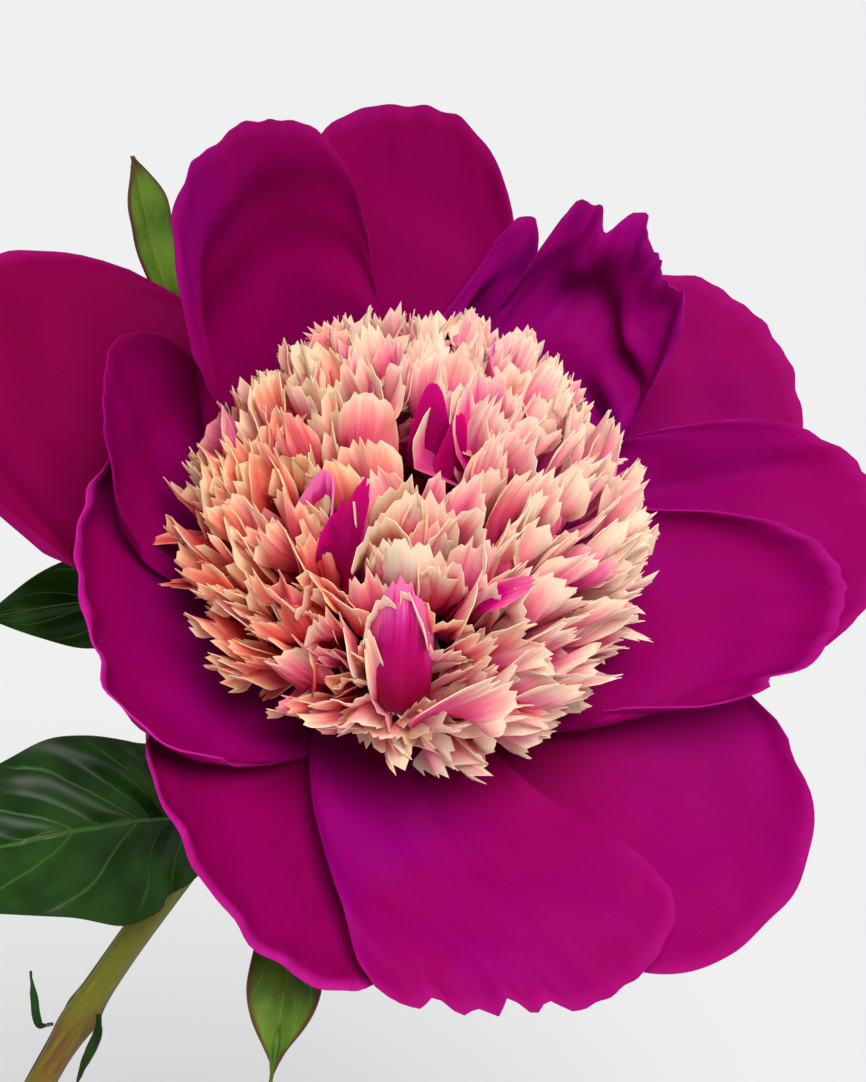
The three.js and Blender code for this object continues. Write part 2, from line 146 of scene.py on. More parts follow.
class Route:
    """A smooth curve through points, spaced as a centripetal Catmull-Rom spline."""

    samples: ClassVar[int] = 401

    def __init__(self, points: Sequence[Sequence[float]]) -> None:
        """Works out one cubic for each stretch between two points.

        Args:
            points: The points that the curve runs through, in order.
        """
        p = np.array(points, float)
        padded = np.vstack([2 * p[0] - p[1], p, 2 * p[-1] - p[-2]])
        self.cubics = np.stack([self._cubic(*padded[i : i + 4]) for i in range(len(p) - 1)])
        shares = np.linspace(0, 1, self.samples)
        steps = np.linalg.norm(np.diff(self.at(shares), axis=0), axis=1)
        self._shares = shares
        self._lengths = np.concatenate([[0], np.cumsum(steps)])
        self.length = float(self._lengths[-1])

    @staticmethod
    def _cubic(p0: Array, p1: Array, p2: Array, p3: Array) -> Array:
        """Works out one stretch.

        Args:
            p0: The point before the stretch.
            p1: Its first point.
            p2: Its last point.
            p3: The point after it.

        Returns:
            The coefficients of its powers 0 to 3.
        """
        d0, d1, d2 = (np.sum((b - a) ** 2) ** 0.25 for a, b in ((p0, p1), (p1, p2), (p2, p3)))
        start = ((p1 - p0) / d0 - (p2 - p0) / (d0 + d1) + (p2 - p1) / d1) * d1
        end = ((p2 - p1) / d1 - (p3 - p1) / (d1 + d2) + (p3 - p2) / d2) * d1
        return np.stack([p1, start, 3 * (p2 - p1) - 2 * start - end, 2 * (p1 - p2) + start + end])

    def at(self, t: Array) -> Array:
        """The points at shares of the curve's own parameter.

        Args:
            t: Shares from 0 to 1.

        Returns:
            One point for each share.
        """
        scaled = np.clip(t, 0, 1) * len(self.cubics)
        k = np.minimum(scaled.astype(int), len(self.cubics) - 1)
        x = (scaled - k)[..., None]
        c = self.cubics[k]
        return c[..., 0, :] + x * (c[..., 1, :] + x * (c[..., 2, :] + x * c[..., 3, :]))

    def even(self, t: Array) -> Array:
        """The points at shares t of the curve's length."""
        return self.at(np.interp(np.asarray(t) * self.length, self._lengths, self._shares))

    def direction(self, t: Array, evenly: bool = False) -> Array:
        """Unit tangents along the curve.

        Args:
            t: Shares from 0 to 1.
            evenly: Whether they are shares of its length and not of its own parameter.

        Returns:
            One tangent for each share.
        """
        point = self.even if evenly else self.at
        return unit(point(np.clip(t + NUDGE, 0, 1)) - point(np.clip(t - NUDGE, 0, 1)))


# ---------------------------------------------------------------- making pieces


def spread(verts: Sequence[bmesh.types.BMVert], surface: Surface) -> None:
    """Moves the vertices of a flat grid onto a surface in millimetres.

    Args:
        verts: Vertices whose x runs from -1 to 1 across and whose y runs from -1 to 1 along.
        surface: Takes s from -1 to 1 and t from 0 to 1.
    """
    flat = np.array([v.co for v in verts])
    for vert, point in zip(verts, surface(flat[:, 0], (flat[:, 1] + 1) / 2)):
        vert.co = point * MM


def link(name: str, bm: bmesh.types.BMesh) -> Object:
    """Turns a bmesh into an object of the scene.

    Args:
        name: The object's name.
        bm: The bmesh, which is freed.

    Returns:
        The object.
    """
    mesh = bpy.data.meshes.new(name)
    bm.to_mesh(mesh)
    bm.free()
    made = bpy.data.objects.new(name, mesh)
    bpy.context.scene.collection.objects.link(made)
    return made


def settle(made: Object, wall: float = 0.0, crease: float = SHEET_CREASE) -> Object:
    """Gives a piece its wall and its smooth shading and keeps the result as its mesh.

    Args:
        made: The piece.
        wall: Thickness in millimetres, or 0 if the mesh is closed already.
        crease: Angle in degrees past which an edge stays sharp.

    Returns:
        The same piece.
    """
    if wall:
        solidify = made.modifiers.new("wall", "SOLIDIFY")
        solidify.thickness = wall * MM
        solidify.offset = 0
    graph = bpy.context.evaluated_depsgraph_get()
    mesh = bpy.data.meshes.new_from_object(
        made.evaluated_get(graph), preserve_all_data_layers=True, depsgraph=graph
    )
    made.modifiers.clear()
    made.data = mesh
    mesh.name = made.name
    mesh.shade_smooth()
    mesh.set_sharp_from_angle(angle=math.radians(crease))
    return made


def sheet(name: str, surface: Surface, across: int, along: int, wall: float) -> Object:
    """A thin closed sheet round a surface, with its UV map across and along.

    Args:
        name: The piece's name.
        surface: Its middle surface in millimetres.
        across: Number of faces across.
        along: Number of faces along.
        wall: Thickness in millimetres.

    Returns:
        The piece.
    """
    bm = bmesh.new()
    bm.loops.layers.uv.new("UVMap")
    bmesh.ops.create_grid(bm, x_segments=across, y_segments=along, size=1, calc_uvs=True)
    spread(list(bm.verts), surface)
    return settle(link(name, bm), wall)


def tube(name: str, surface: Surface, round_steps: int, along: int) -> Object:
    """A closed tube: a grid whose two sides are welded and whose ends are filled.

    Args:
        name: The piece's name.
        surface: The skin, with s from -1 to 1 once round.
        round_steps: Number of faces round the tube.
        along: Number of faces along it.

    Returns:
        The piece.
    """
    bm = bmesh.new()
    bm.loops.layers.uv.new("UVMap")
    bmesh.ops.create_grid(bm, x_segments=round_steps, y_segments=along, size=1, calc_uvs=True)
    spread(list(bm.verts), surface)
    bmesh.ops.remove_doubles(bm, verts=bm.verts, dist=WELD)
    bmesh.ops.holes_fill(bm, edges=[e for e in bm.edges if e.is_boundary], sides=0)
    bmesh.ops.recalc_face_normals(bm, faces=bm.faces)
    return settle(link(name, bm))


def spun(name: str, profile: Sequence[tuple[float, float]], steps: int) -> Object:
    """A turned piece: a profile of radii and heights that starts and ends on the Z axis.

    Args:
        name: The piece's name.
        profile: Radius and height of each point, in millimetres.
        steps: Number of faces round.

    Returns:
        The piece.
    """
    bm = bmesh.new()
    verts = [bm.verts.new((r * MM, 0, z * MM)) for r, z in profile]
    edges = [bm.edges.new(pair) for pair in zip(verts, verts[1:])]
    bmesh.ops.spin(
        bm, geom=verts + edges, cent=(0, 0, 0), axis=(0, 0, 1), angle=math.tau, steps=steps, use_merge=True
    )
    bmesh.ops.remove_doubles(bm, verts=bm.verts, dist=WELD)
    bmesh.ops.recalc_face_normals(bm, faces=bm.faces)
    return settle(link(name, bm), crease=TURNED_CREASE)


def carry_numbers(made: Object, numbers: Mapping[str, float]) -> None:
    """Gives a whole piece numbers that its finish reads.

    Args:
        made: The piece.
        numbers: Each number by its attribute's name.
    """
    for name, value in numbers.items():
        layer = made.data.attributes.new(name, "FLOAT", "POINT")
        layer.data.foreach_set("value", [value] * len(made.data.vertices))


def install(made: Object, material: Material, slot: Slot, *nodes: str) -> Object:
    """Dresses a finished piece and lets it stand for its nodes of the frame.

    Args:
        made: The piece, in its place.
        material: Its finish.
        slot: The record's material slot, which is only logged.
        nodes: The frame's nodes that it replaces.

    Returns:
        The same piece.
    """
    made.data.materials.clear()
    made.data.materials.append(material)
    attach(made, BODY)
    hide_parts(*nodes)
    LOG.info("%s: %d faces, %s", made.name, len(made.data.polygons), slot.value)
    return made


# ---------------------------------------------------------------- shader trees


class Value:
    """A number in a material's tree that Python's operators work on."""

    def __init__(self, tree: "Tree", socket: NodeSocket) -> None:
        """Keeps the socket that gives the number."""
        self.tree = tree
        self.socket = socket

    def _maths(self, operation: str, *numbers: "Value | float") -> "Value":
        """One Math node on one or two numbers."""
        node = self.tree.node("ShaderNodeMath", {"operation": operation}, dict(enumerate(numbers)))
        return Value(self.tree, node.outputs[0])

    def __add__(self, other: "Value | float") -> "Value":
        """This number plus another."""
        return self._maths("ADD", self, other)

    def __sub__(self, other: "Value | float") -> "Value":
        """This number less another."""
        return self._maths("SUBTRACT", self, other)

    def __rsub__(self, other: float) -> "Value":
        """Another number less this one."""
        return self._maths("SUBTRACT", other, self)

    def __mul__(self, other: "Value | float") -> "Value":
        """This number times another."""
        return self._maths("MULTIPLY", self, other)

    def __pow__(self, other: float) -> "Value":
        """This number to a power."""
        return self._maths("POWER", self, other)

    def __abs__(self) -> "Value":
        """This number without its sign."""
        return self._maths("ABSOLUTE", self)

    __radd__ = __add__
    __rmul__ = __mul__

    def wave(self) -> "Value":
        """The sine of this number."""
        return self._maths("SINE", self)

    def part(self) -> "Value":
        """This number's part after the point."""
        return self._maths("FRACT", self)

    def larger(self, other: "Value | float") -> "Value":
        """The larger of two numbers."""
        return self._maths("MAXIMUM", self, other)

    def step(self, low: float, high: float) -> "Value":
        """Eases this number from 0 to 1.

        Args:
            low: Where it is 0; it may lie above high.
            high: Where it is 1.

        Returns:
            The eased number.
        """
        node = self.tree.node(
            "ShaderNodeMapRange",
            {"interpolation_type": "SMOOTHSTEP"},
            {"Value": self, "From Min": low, "From Max": high},
        )
        return Value(self.tree, node.outputs[0])


Input = Value | NodeSocket | float | Sequence[float]


class Tree:
    """A material's node tree with one Principled shader."""

    def __init__(self, name: str, constants: Mapping[str, Input]) -> None:
        """Makes the material with its shader.

        Args:
            name: The material's name.
            constants: Values of the shader's own sockets.
        """
        self.material = bpy.data.materials.new(name)
        self.material.use_nodes = True
        self._tree = self.material.node_tree
        self._tree.nodes.clear()
        self.shader = self.node("ShaderNodeBsdfPrincipled", {}, constants)
        output = self.node("ShaderNodeOutputMaterial", {}, {})
        self._tree.links.new(self.shader.outputs[0], output.inputs[0])

    def node(self, kind: str, settings: Mapping[str, object], inputs: Mapping[str | int, Input]) -> Node:
        """Adds a node.

        Args:
            kind: The node's type.
            settings: Its properties, and a colour ramp's stops under "stops".
            inputs: Values or links of its sockets, by name or place.

        Returns:
            The node.
        """
        made = self._tree.nodes.new(kind)
        for key, setting in settings.items():
            if key == "stops":
                self._set_stops(made, setting)
            else:
                setattr(made, key, setting)
        for key, given in inputs.items():
            self.feed(made.inputs[key], given)
        return made

    def feed(self, socket: NodeSocket, given: Input) -> None:
        """Links or sets a socket.

        Args:
            socket: The socket that takes the input.
            given: A link, or a value that is the same everywhere.
        """
        if isinstance(given, Value):
            self._tree.links.new(given.socket, socket)
        elif isinstance(given, NodeSocket):
            self._tree.links.new(given, socket)
        elif socket.type == "RGBA" and len(given) == 3:
            socket.default_value = (*given, 1)
        else:
            socket.default_value = given

    @staticmethod
    def _set_stops(ramp: Node, stops: Sequence[tuple[float, Colour]]) -> None:
        """Gives a colour ramp its stops.

        Args:
            ramp: The ramp's node.
            stops: Place and colour of each stop, in order.
        """
        elements = ramp.color_ramp.elements
        while len(elements) < len(stops):
            elements.new(1)
        for element, (place, colour) in zip(elements, stops):
            element.position = place
            element.color = (*colour, 1)

    def uv(self) -> tuple[Value, Value]:
        """The piece's own coordinates, each from 0 to 1.

        Returns:
            Across and along.
        """
        given = self.node("ShaderNodeTexCoord", {}, {}).outputs["UV"]
        split = self.node("ShaderNodeSeparateXYZ", {}, {0: given})
        return Value(self, split.outputs[0]), Value(self, split.outputs[1])

    def place(self) -> NodeSocket:
        """The position in the piece's own frame, in metres."""
        return self.node("ShaderNodeTexCoord", {}, {}).outputs["Object"]

    def height(self) -> Value:
        """How high a point is over the table, in metres."""
        return Value(self, self.node("ShaderNodeSeparateXYZ", {}, {0: self.place()}).outputs[2])

    def attribute(self, name: str) -> Value:
        """A number that the mesh carries."""
        return Value(self, self.node("ShaderNodeAttribute", {"attribute_name": name}, {}).outputs["Fac"])

    def vector(self, x: Input, y: Input, z: Input = 0.0) -> NodeSocket:
        """A vector of three numbers."""
        return self.node("ShaderNodeCombineXYZ", {}, {0: x, 1: y, 2: z}).outputs[0]

    def noise(self, where: Input, scale: float, detail: float = 3.0, rough: float = 0.5) -> Value:
        """Noise from 0 to 1 at a vector."""
        inputs = {"Vector": where, "Scale": scale, "Detail": detail, "Roughness": rough}
        return Value(self, self.node("ShaderNodeTexNoise", {}, inputs).outputs[0])

    def blend(self, factor: Input, a: Input, b: Input) -> NodeSocket:
        """Colour a mixed with colour b."""
        return self.node("ShaderNodeMix", {"data_type": "RGBA"}, {0: factor, 6: a, 7: b}).outputs[2]

    def ramp(self, factor: Value, stops: Sequence[tuple[float, Colour]]) -> NodeSocket:
        """A colour for a number."""
        return self.node("ShaderNodeValToRGB", {"stops": stops}, {0: factor}).outputs[0]

    def relief(self, height: Value, depth: float, strength: float = 1.0) -> None:
        """Bumps the shader's normal by a height from 0 to 1; depth is in metres."""
        inputs = {"Height": height, "Distance": depth, "Strength": strength}
        self.feed(self.shader.inputs["Normal"], self.node("ShaderNodeBump", {}, inputs).outputs[0])

    def finish(self, colour: Input, rough: Input) -> Material:
        """Feeds the shader.

        Args:
            colour: What its base colour takes.
            rough: What its roughness takes.

        Returns:
            The material.
        """
        self.feed(self.shader.inputs["Base Color"], colour)
        self.feed(self.shader.inputs["Roughness"], rough)
        return self.material


@dataclass(frozen=True)
class PetalFinish:
    """The velvety magenta of the guard petals, with fine veins, painted shade toward the claws and a painted
    pale lilac highlight on the rim.
    """

    name: str = "magenta_petal"
    main: Colour = (0.24, 0.0, 0.086)
    purple: Colour = (0.215, 0.0, 0.14)
    deep: Colour = (0.145, 0.0, 0.02)
    # painted highlight: the pale lilac that light grazing and shining through the rims gives them
    rim: Colour = (0.45, 0.01, 0.24)
    # painted shade: the near-black red that the petals darken to toward their claws, under the heart
    base: Colour = (0.085, 0.0, 0.003)
    patch_scale: float = 20.0
    cloud_scale: float = 60.0
    patch_edges: Span = (0.38, 0.66)
    cloud_edges: Span = (0.3, 0.75)
    veins: float = 34.0
    vein_length: float = 2.5
    vein_edges: Span = (0.5, 0.2)
    finer: float = 4.0
    mottling: float = 0.14
    claw_shade_edges: Span = (0.6, 0.14)
    claw_shade_strength: float = 0.85
    rim_sheen_side: float = 0.93
    rim_sheen_end: float = 0.95
    scatter: float = 0.1
    gloss: float = 0.02
    rough: float = 0.5
    relief: float = 0.0006

    def make(self) -> Material:
        """Makes the material on the petal's own UV map.

        Returns:
            The material, which reads three numbers of the mesh: its deeper colour and painted shade, its
            purple and its painted rim highlight.
        """
        tree = Tree(
            self.name,
            {
                "Specular IOR Level": self.gloss,
                "Subsurface Weight": self.scatter,
                "Subsurface Radius": (1.0, 0.1, 0.5),
                "Subsurface Scale": 0.002,
            },
        )
        across, along = tree.uv()
        patches = tree.noise(tree.place(), self.patch_scale, 3).step(*self.patch_edges)
        clouds = tree.noise(tree.place(), self.cloud_scale, 4).step(*self.cloud_edges)
        colour = tree.blend(patches * tree.attribute("purple"), self.main, self.purple)
        stretched = tree.vector(across * self.veins, along * self.vein_length)
        lines = tree.noise(stretched, 1.0, 4, 0.6)
        narrow = tree.vector(across * (self.veins * self.finer), along * (self.vein_length * self.finer))
        fine = tree.noise(narrow, 1.0, 2, 0.6)
        colour = tree.blend(lines.step(*self.vein_edges) * self.mottling, colour, self.deep)
        # The petal's shade number deepens it: partly its own deeper crimson, mostly painted shade on the
        # petals turned away from the light.
        colour = tree.blend(clouds * self.mottling + tree.attribute("shade"), colour, self.deep)
        # Painted shade: each petal darkens toward its claw, where the heart and the petals over it shade it.
        colour = tree.blend(along.step(*self.claw_shade_edges) * self.claw_shade_strength, colour, self.base)
        # Painted highlight: a pale lilac rim where light grazes and shines through the petal's edges.
        edge = abs(across - 0.5) * 2.0
        sides = edge.step(self.rim_sheen_side, 1.0) * along.step(0.7, 1.0)
        rim = sides.larger(along.step(self.rim_sheen_end, 1.0)) * tree.attribute("pale_rim")
        colour = tree.blend(rim * (0.5 + lines), colour, self.rim)
        tree.relief(lines * 0.35 + fine * 0.2 + clouds * 0.45, self.relief, 0.6)
        return tree.finish(colour, self.rough + lines * 0.2)


@dataclass(frozen=True)
class PetaloidFinish:
    """The petaloids of the heart, from a magenta base through pink or orange to cream tips; the dark base is
    partly painted shade deep in the heart.
    """

    name: str = "cream_petaloid"
    # The dark low ends of both ramps are partly the petaloids' own magenta base, partly painted shade deep
    # between them.
    pink: tuple[tuple[float, Colour], ...] = (
        (0.45, (0.3, 0.0, 0.08)),
        (0.66, (0.56, 0.0, 0.16)),
        (0.8, (0.88, 0.08, 0.25)),
        (0.89, (1.0, 0.3, 0.34)),
        (0.95, (1.0, 0.52, 0.42)),
        (1.0, (1.0, 0.71, 0.47)),
    )
    warm: tuple[tuple[float, Colour], ...] = (
        (0.45, (0.35, 0.0, 0.02)),
        (0.66, (0.6, 0.01, 0.03)),
        (0.79, (0.9, 0.1, 0.075)),
        (0.88, (1.0, 0.27, 0.155)),
        (0.95, (1.0, 0.52, 0.26)),
        (1.0, (1.0, 0.73, 0.37)),
    )
    veins: float = 15.0
    vein_length: float = 1.4
    patch_scale: float = 160.0
    streaks: float = 0.2
    patchiness: float = 0.12
    pale_edge: float = 0.06
    paler: float = 0.06
    flush_reach: float = 0.24
    cream_tip: float = 0.4
    tip_edges: Span = (0.72, 1.0)
    flushed_edges: Span = (1.2, 0.8)
    rim_edges: Span = (0.35, 1.0)
    tone_edges: Span = (0.15, 0.85)
    scatter: float = 0.5
    gloss: float = 0.06
    rough: float = 0.5
    relief: float = 0.0003

    def make(self) -> Material:
        """Makes the material on the petaloid's own UV map.

        Returns:
            The material. The mesh's tone runs from warm to pink, and its flush brings the magenta further up,
            partly as painted shade low between the petaloids.
        """
        tree = Tree(
            self.name,
            {
                "Specular IOR Level": self.gloss,
                "Subsurface Weight": self.scatter,
                "Subsurface Radius": (1.0, 0.8, 0.7),
                "Subsurface Scale": 0.003,
            },
        )
        across, along = tree.uv()
        tone = tree.attribute("tone")
        flush = tree.attribute("flush")
        own = tone * 40.0 + flush * 30.0
        lines = tree.noise(tree.vector(across * self.veins, along * self.vein_length, own), 1.0, 4, 0.65)
        patches = tree.noise(tree.place(), self.patch_scale, 2)
        edge = abs(across - 0.5) * 2.0
        reach = 1 - (1 - along) ** Petaloid.crowding
        reach = reach + (lines - 0.5) * self.streaks + (patches - 0.5) * self.patchiness
        # The flush darkens the lower parts while the tips stay cream: partly deeper magenta, partly painted
        # shade in the gaps between petaloids.
        tip = along.step(*self.tip_edges) * flush.step(*self.flushed_edges)
        reach = reach + edge.step(*self.rim_edges) * self.pale_edge
        reach = reach - flush * (1 - tip * self.cream_tip) * self.flush_reach + self.paler
        pink = tree.ramp(reach, self.pink)
        warm = tree.ramp(reach, self.warm)
        colour = tree.blend((tone + (patches - 0.5) * 0.5).step(*self.tone_edges), warm, pink)
        tree.relief(lines, self.relief, 0.5)
        return tree.finish(colour, self.rough + lines * 0.15)


@dataclass(frozen=True)
class LeafFinish:
    """A glossy leaf or bract: two greens in patches, pale veins and a margin of its own colour.

    Here and in the other finishes, edges are the two values between which a mask fades in.
    """

    name: str
    dark: Colour
    light: Colour
    vein: Colour
    margin: Colour
    margin_width: float
    laterals: float
    slant: float
    rough: float = 0.28
    patch_scale: float = 90.0
    patch_edges: Span = (0.3, 0.7)
    lateral_width: float = 0.055
    midrib_edges: Span = (0.035, 0.008)
    vein_strength: float = 0.75
    margin_strength: float = 0.85
    gloss: float = 0.16
    relief: float = 0.0005

    def make(self) -> Material:
        """Makes the material with a midrib and lateral veins.

        Returns:
            The material.
        """
        tree = Tree(self.name, {"Specular IOR Level": self.gloss})
        across, along = tree.uv()
        aside = abs(across - 0.5) * 2.0
        patches = tree.noise(tree.place(), self.patch_scale, 4)
        phase = (along * self.laterals - aside * self.slant + patches * 0.25).part()
        lateral = abs(phase - 0.5).step(self.lateral_width, 0.0) * aside.step(1.0, 0.7)
        midrib = aside.step(*self.midrib_edges)
        veins = lateral.larger(midrib)
        colour = tree.blend(patches.step(*self.patch_edges), self.dark, self.light)
        colour = tree.blend(veins * self.vein_strength, colour, self.vein)
        edge = aside.step(1.0 - self.margin_width, 1.0).larger(along.step(1.0 - self.margin_width * 0.5, 1.0))
        colour = tree.blend(edge * self.margin_strength, colour, self.margin)
        tree.relief(patches * 0.3 + (1 - veins) * 0.7, self.relief, 0.6)
        return tree.finish(colour, self.rough + patches * 0.14)


@dataclass(frozen=True)
class StemFinish:
    """The stem: olive and yellow-green streaks that redden to the joint and below it."""

    name: str = "green_stem"
    olive: Colour = (0.085, 0.06, 0.008)
    green: Colour = (0.15, 0.145, 0.012)
    pale: Colour = (0.3, 0.28, 0.045)
    red: Colour = (0.14, 0.03, 0.012)
    joint_height: float = 0.192
    joint_edges: Span = (0.012, 0.002)
    streaks_round: float = 16.0
    streaks_along: float = 22.0
    pale_edges: Span = (0.58, 0.75)
    pale_strength: float = 0.6
    red_edges: Span = (0.3, 0.6)
    red_strength: float = 0.8
    speck_scale: float = 900.0
    speck_edges: Span = (0.62, 0.75)
    speck_strength: float = 0.35
    gloss: float = 0.2
    rough: float = 0.4
    relief: float = 0.0004

    def make(self) -> Material:
        """Makes the material with streaks along the stem.

        Returns:
            The material.
        """
        tree = Tree(self.name, {"Specular IOR Level": self.gloss})
        around, along = tree.uv()
        stretched = tree.vector(around * self.streaks_round, along * self.streaks_along)
        streaks = tree.noise(stretched, 1.0, 4, 0.65)
        specks = tree.noise(tree.place(), self.speck_scale, 2).step(*self.speck_edges)
        side = ((around + 0.08) * math.tau).wave() * 0.5 + 0.5
        colour = tree.blend((side + (streaks - 0.5) * 0.7).step(0.25, 0.75), self.olive, self.green)
        colour = tree.blend(streaks.step(*self.pale_edges) * self.pale_strength, colour, self.pale)
        near = abs(tree.height() - self.joint_height).step(*self.joint_edges)
        colour = tree.blend(near * streaks.step(*self.red_edges) * self.red_strength, colour, self.red)
        colour = tree.blend(specks * self.speck_strength, colour, self.olive)
        tree.relief(streaks * 0.8 + specks * 0.2, self.relief, 0.7)
        return tree.finish(colour, self.rough + streaks * 0.2)


@dataclass(frozen=True)
class GlazeFinish:
    """A white gloss glaze that thins at the lip, over a bare foot ring."""

    name: str = "white_glaze"
    glaze: Colour = (0.6, 0.585, 0.54)
    thin: Colour = (0.5, 0.45, 0.37)
    clay: Colour = (0.36, 0.28, 0.2)
    foot: float = 0.0022
    foot_blur: float = 0.0003
    lip: float = 0.1462
    lip_blur: float = 0.0016
    waver: float = 0.003
    mottle_scale: float = 38.0
    mottle_edges: Span = (0.35, 0.7)
    mottle_strength: float = 0.35
    speck_scale: float = 700.0
    speck_edges: Span = (0.72, 0.8)
    speck_strength: float = 0.25
    worn_strength: float = 0.6
    coat: float = 0.6
    coat_rough: float = 0.05
    scatter: float = 0.05
    gloss: float = 0.5
    rough: float = 0.2
    bare_rough: float = 0.5
    relief: float = 0.0003

    def make(self) -> Material:
        """Makes the material, by height over the table.

        Returns:
            The material.
        """
        tree = Tree(
            self.name,
            {
                "Specular IOR Level": self.gloss,
                "Coat Roughness": self.coat_rough,
                "Subsurface Weight": self.scatter,
                "Subsurface Scale": 0.002,
            },
        )
        mottle = tree.noise(tree.place(), self.mottle_scale, 4)
        specks = tree.noise(tree.place(), self.speck_scale, 1).step(*self.speck_edges)
        wavering = tree.height() + (mottle - 0.5) * self.waver
        bare = wavering.step(self.foot + self.foot_blur, self.foot - self.foot_blur)
        worn = wavering.step(self.lip, self.lip + self.lip_blur)
        colour = tree.blend(mottle.step(*self.mottle_edges) * self.mottle_strength, self.glaze, self.thin)
        colour = tree.blend(specks * self.speck_strength, colour, self.clay)
        colour = tree.blend(worn * self.worn_strength, colour, self.thin)
        colour = tree.blend(bare, colour, self.clay)
        tree.feed(tree.shader.inputs["Coat Weight"], (1 - bare) * self.coat)
        tree.relief(mottle * 0.6 + specks * 0.4, self.relief, 0.35)
        return tree.finish(colour, self.rough + mottle * 0.1 + bare * self.bare_rough)


@dataclass(frozen=True)
class FloorFinish:
    """A plain pale matt floor."""

    name: str = "pale_floor"
    colour: Colour = (0.7, 0.7, 0.695)
    lighter: Colour = (0.75, 0.75, 0.75)
    mottling: float = 0.03
    gloss: float = 0.1
    rough: float = 0.9

    def make(self) -> Material:
        """Makes the material with the faintest mottling.

        Returns:
            The material.
        """
        tree = Tree(self.name, {"Specular IOR Level": self.gloss})
        mottle = tree.noise(tree.place(), 3, 2)
        return tree.finish(tree.blend(mottle * self.mottling, self.colour, self.lighter), self.rough)


# ---------------------------------------------------------------- the bloom's frame


@dataclass(frozen=True)
class BloomFrame:
    """Where the bloom sits and which way it faces."""

    base: Triple = (96, -24, 300)
    facing: Triple = (0.1, -0.702, 0.703)

    @property
    def axes(self) -> Array:
        """The directions of the bloom's own axes.

        Returns:
            Right, up and outward as rows.
        """
        outward = unit(np.array(self.facing))
        right = unit(np.array([1, 0, 0]) - outward * outward[0])
        return np.stack([right, np.cross(outward, right), outward])

    def out(self, points: Array) -> Array:
        """Points of the bloom's frame in the vase's frame, in millimetres."""
        return np.array(self.base) + points @ self.axes

    def under(self, depth: float) -> Array:
        """The point on the bloom's axis that far behind its base."""
        return np.array(self.base) - self.axes[2] * depth

    def carry(self, surface: Surface) -> Surface:
        """A surface of the bloom's frame as one of the vase's frame."""
        return lambda s, t: self.out(surface(s, t))

    def matrix(self) -> Matrix:
        """The bloom's frame as a matrix in metres."""
        turned = Matrix([list(row) for row in self.axes]).transposed().to_4x4()
        return Matrix.Translation(Vector(self.base) * MM) @ turned


BLOOM = BloomFrame()


# ---------------------------------------------------------------- vase


@dataclass(frozen=True)
class BudVase:
    """The bottle-shaped vase: foot, belly, slim neck and turned-out lip, hollow over a thick floor."""

    outline: tuple[tuple[float, float], ...] = (
        (29, 2),
        (38, 17.6),
        (42, 42),
        (33, 70),
        (18, 94),
        (14.5, 116),
        (14.9, 136),
        (18, 147),
    )
    foot_chamfer: float = 2.0
    height: float = 148.0
    wall: float = 3.6
    floor: float = 8.0
    inner_floor_radius: float = 22.4
    foot_ring: Span = (24.0, 20.0)
    foot_recess: float = 1.2
    rounded_foot: Span = (0.5, 0.8)
    bead_inset: float = 0.1
    bead_turn: Span = (20.0, 175.0)
    sides: int = 128
    rings: int = 72
    bead_rings: int = 12

    def profile(self) -> list[tuple[float, float]]:
        """Lays out the vase's section.

        Returns:
            Radii and heights from the middle of the foot round the lip to the middle of the floor.
        """
        curve = Route([(r, z, 0) for r, z in self.outline]).even(np.linspace(0, 1, self.rings))
        outer = [(r, z) for r, z, _ in curve]
        lip_radius = self.outline[-1][0]
        foot_radius = self.outline[0][0]
        inner = [
            (r - self.wall, z) for r, z in outer if self.floor + self.wall < z < self.height - self.wall
        ]
        under = [(0, self.foot_recess), (self.foot_ring[1], self.foot_recess), (self.foot_ring[0], 0)]
        aside, raised = self.rounded_foot
        chamfer = [(foot_radius - self.foot_chamfer, 0), (foot_radius - aside, raised)]
        middle = lip_radius - self.wall / 2 + 2 * self.bead_inset
        half = self.wall / 2 - self.bead_inset
        bead = [
            (middle + half * math.cos(a), self.height - half + half * math.sin(a))
            for a in np.radians(np.linspace(*self.bead_turn, self.bead_rings))
        ]
        inside = [*inner[::-1], (self.inner_floor_radius, self.floor), (0, self.floor)]
        return [*under, *chamfer, *outer[:-1], *bead, *inside]

    def build(self, finish: Material) -> None:
        """Makes the vase."""
        install(spun("vase_body", self.profile(), self.sides), finish, Slot.GLAZE, "vase")


# ---------------------------------------------------------------- stem and receptacle


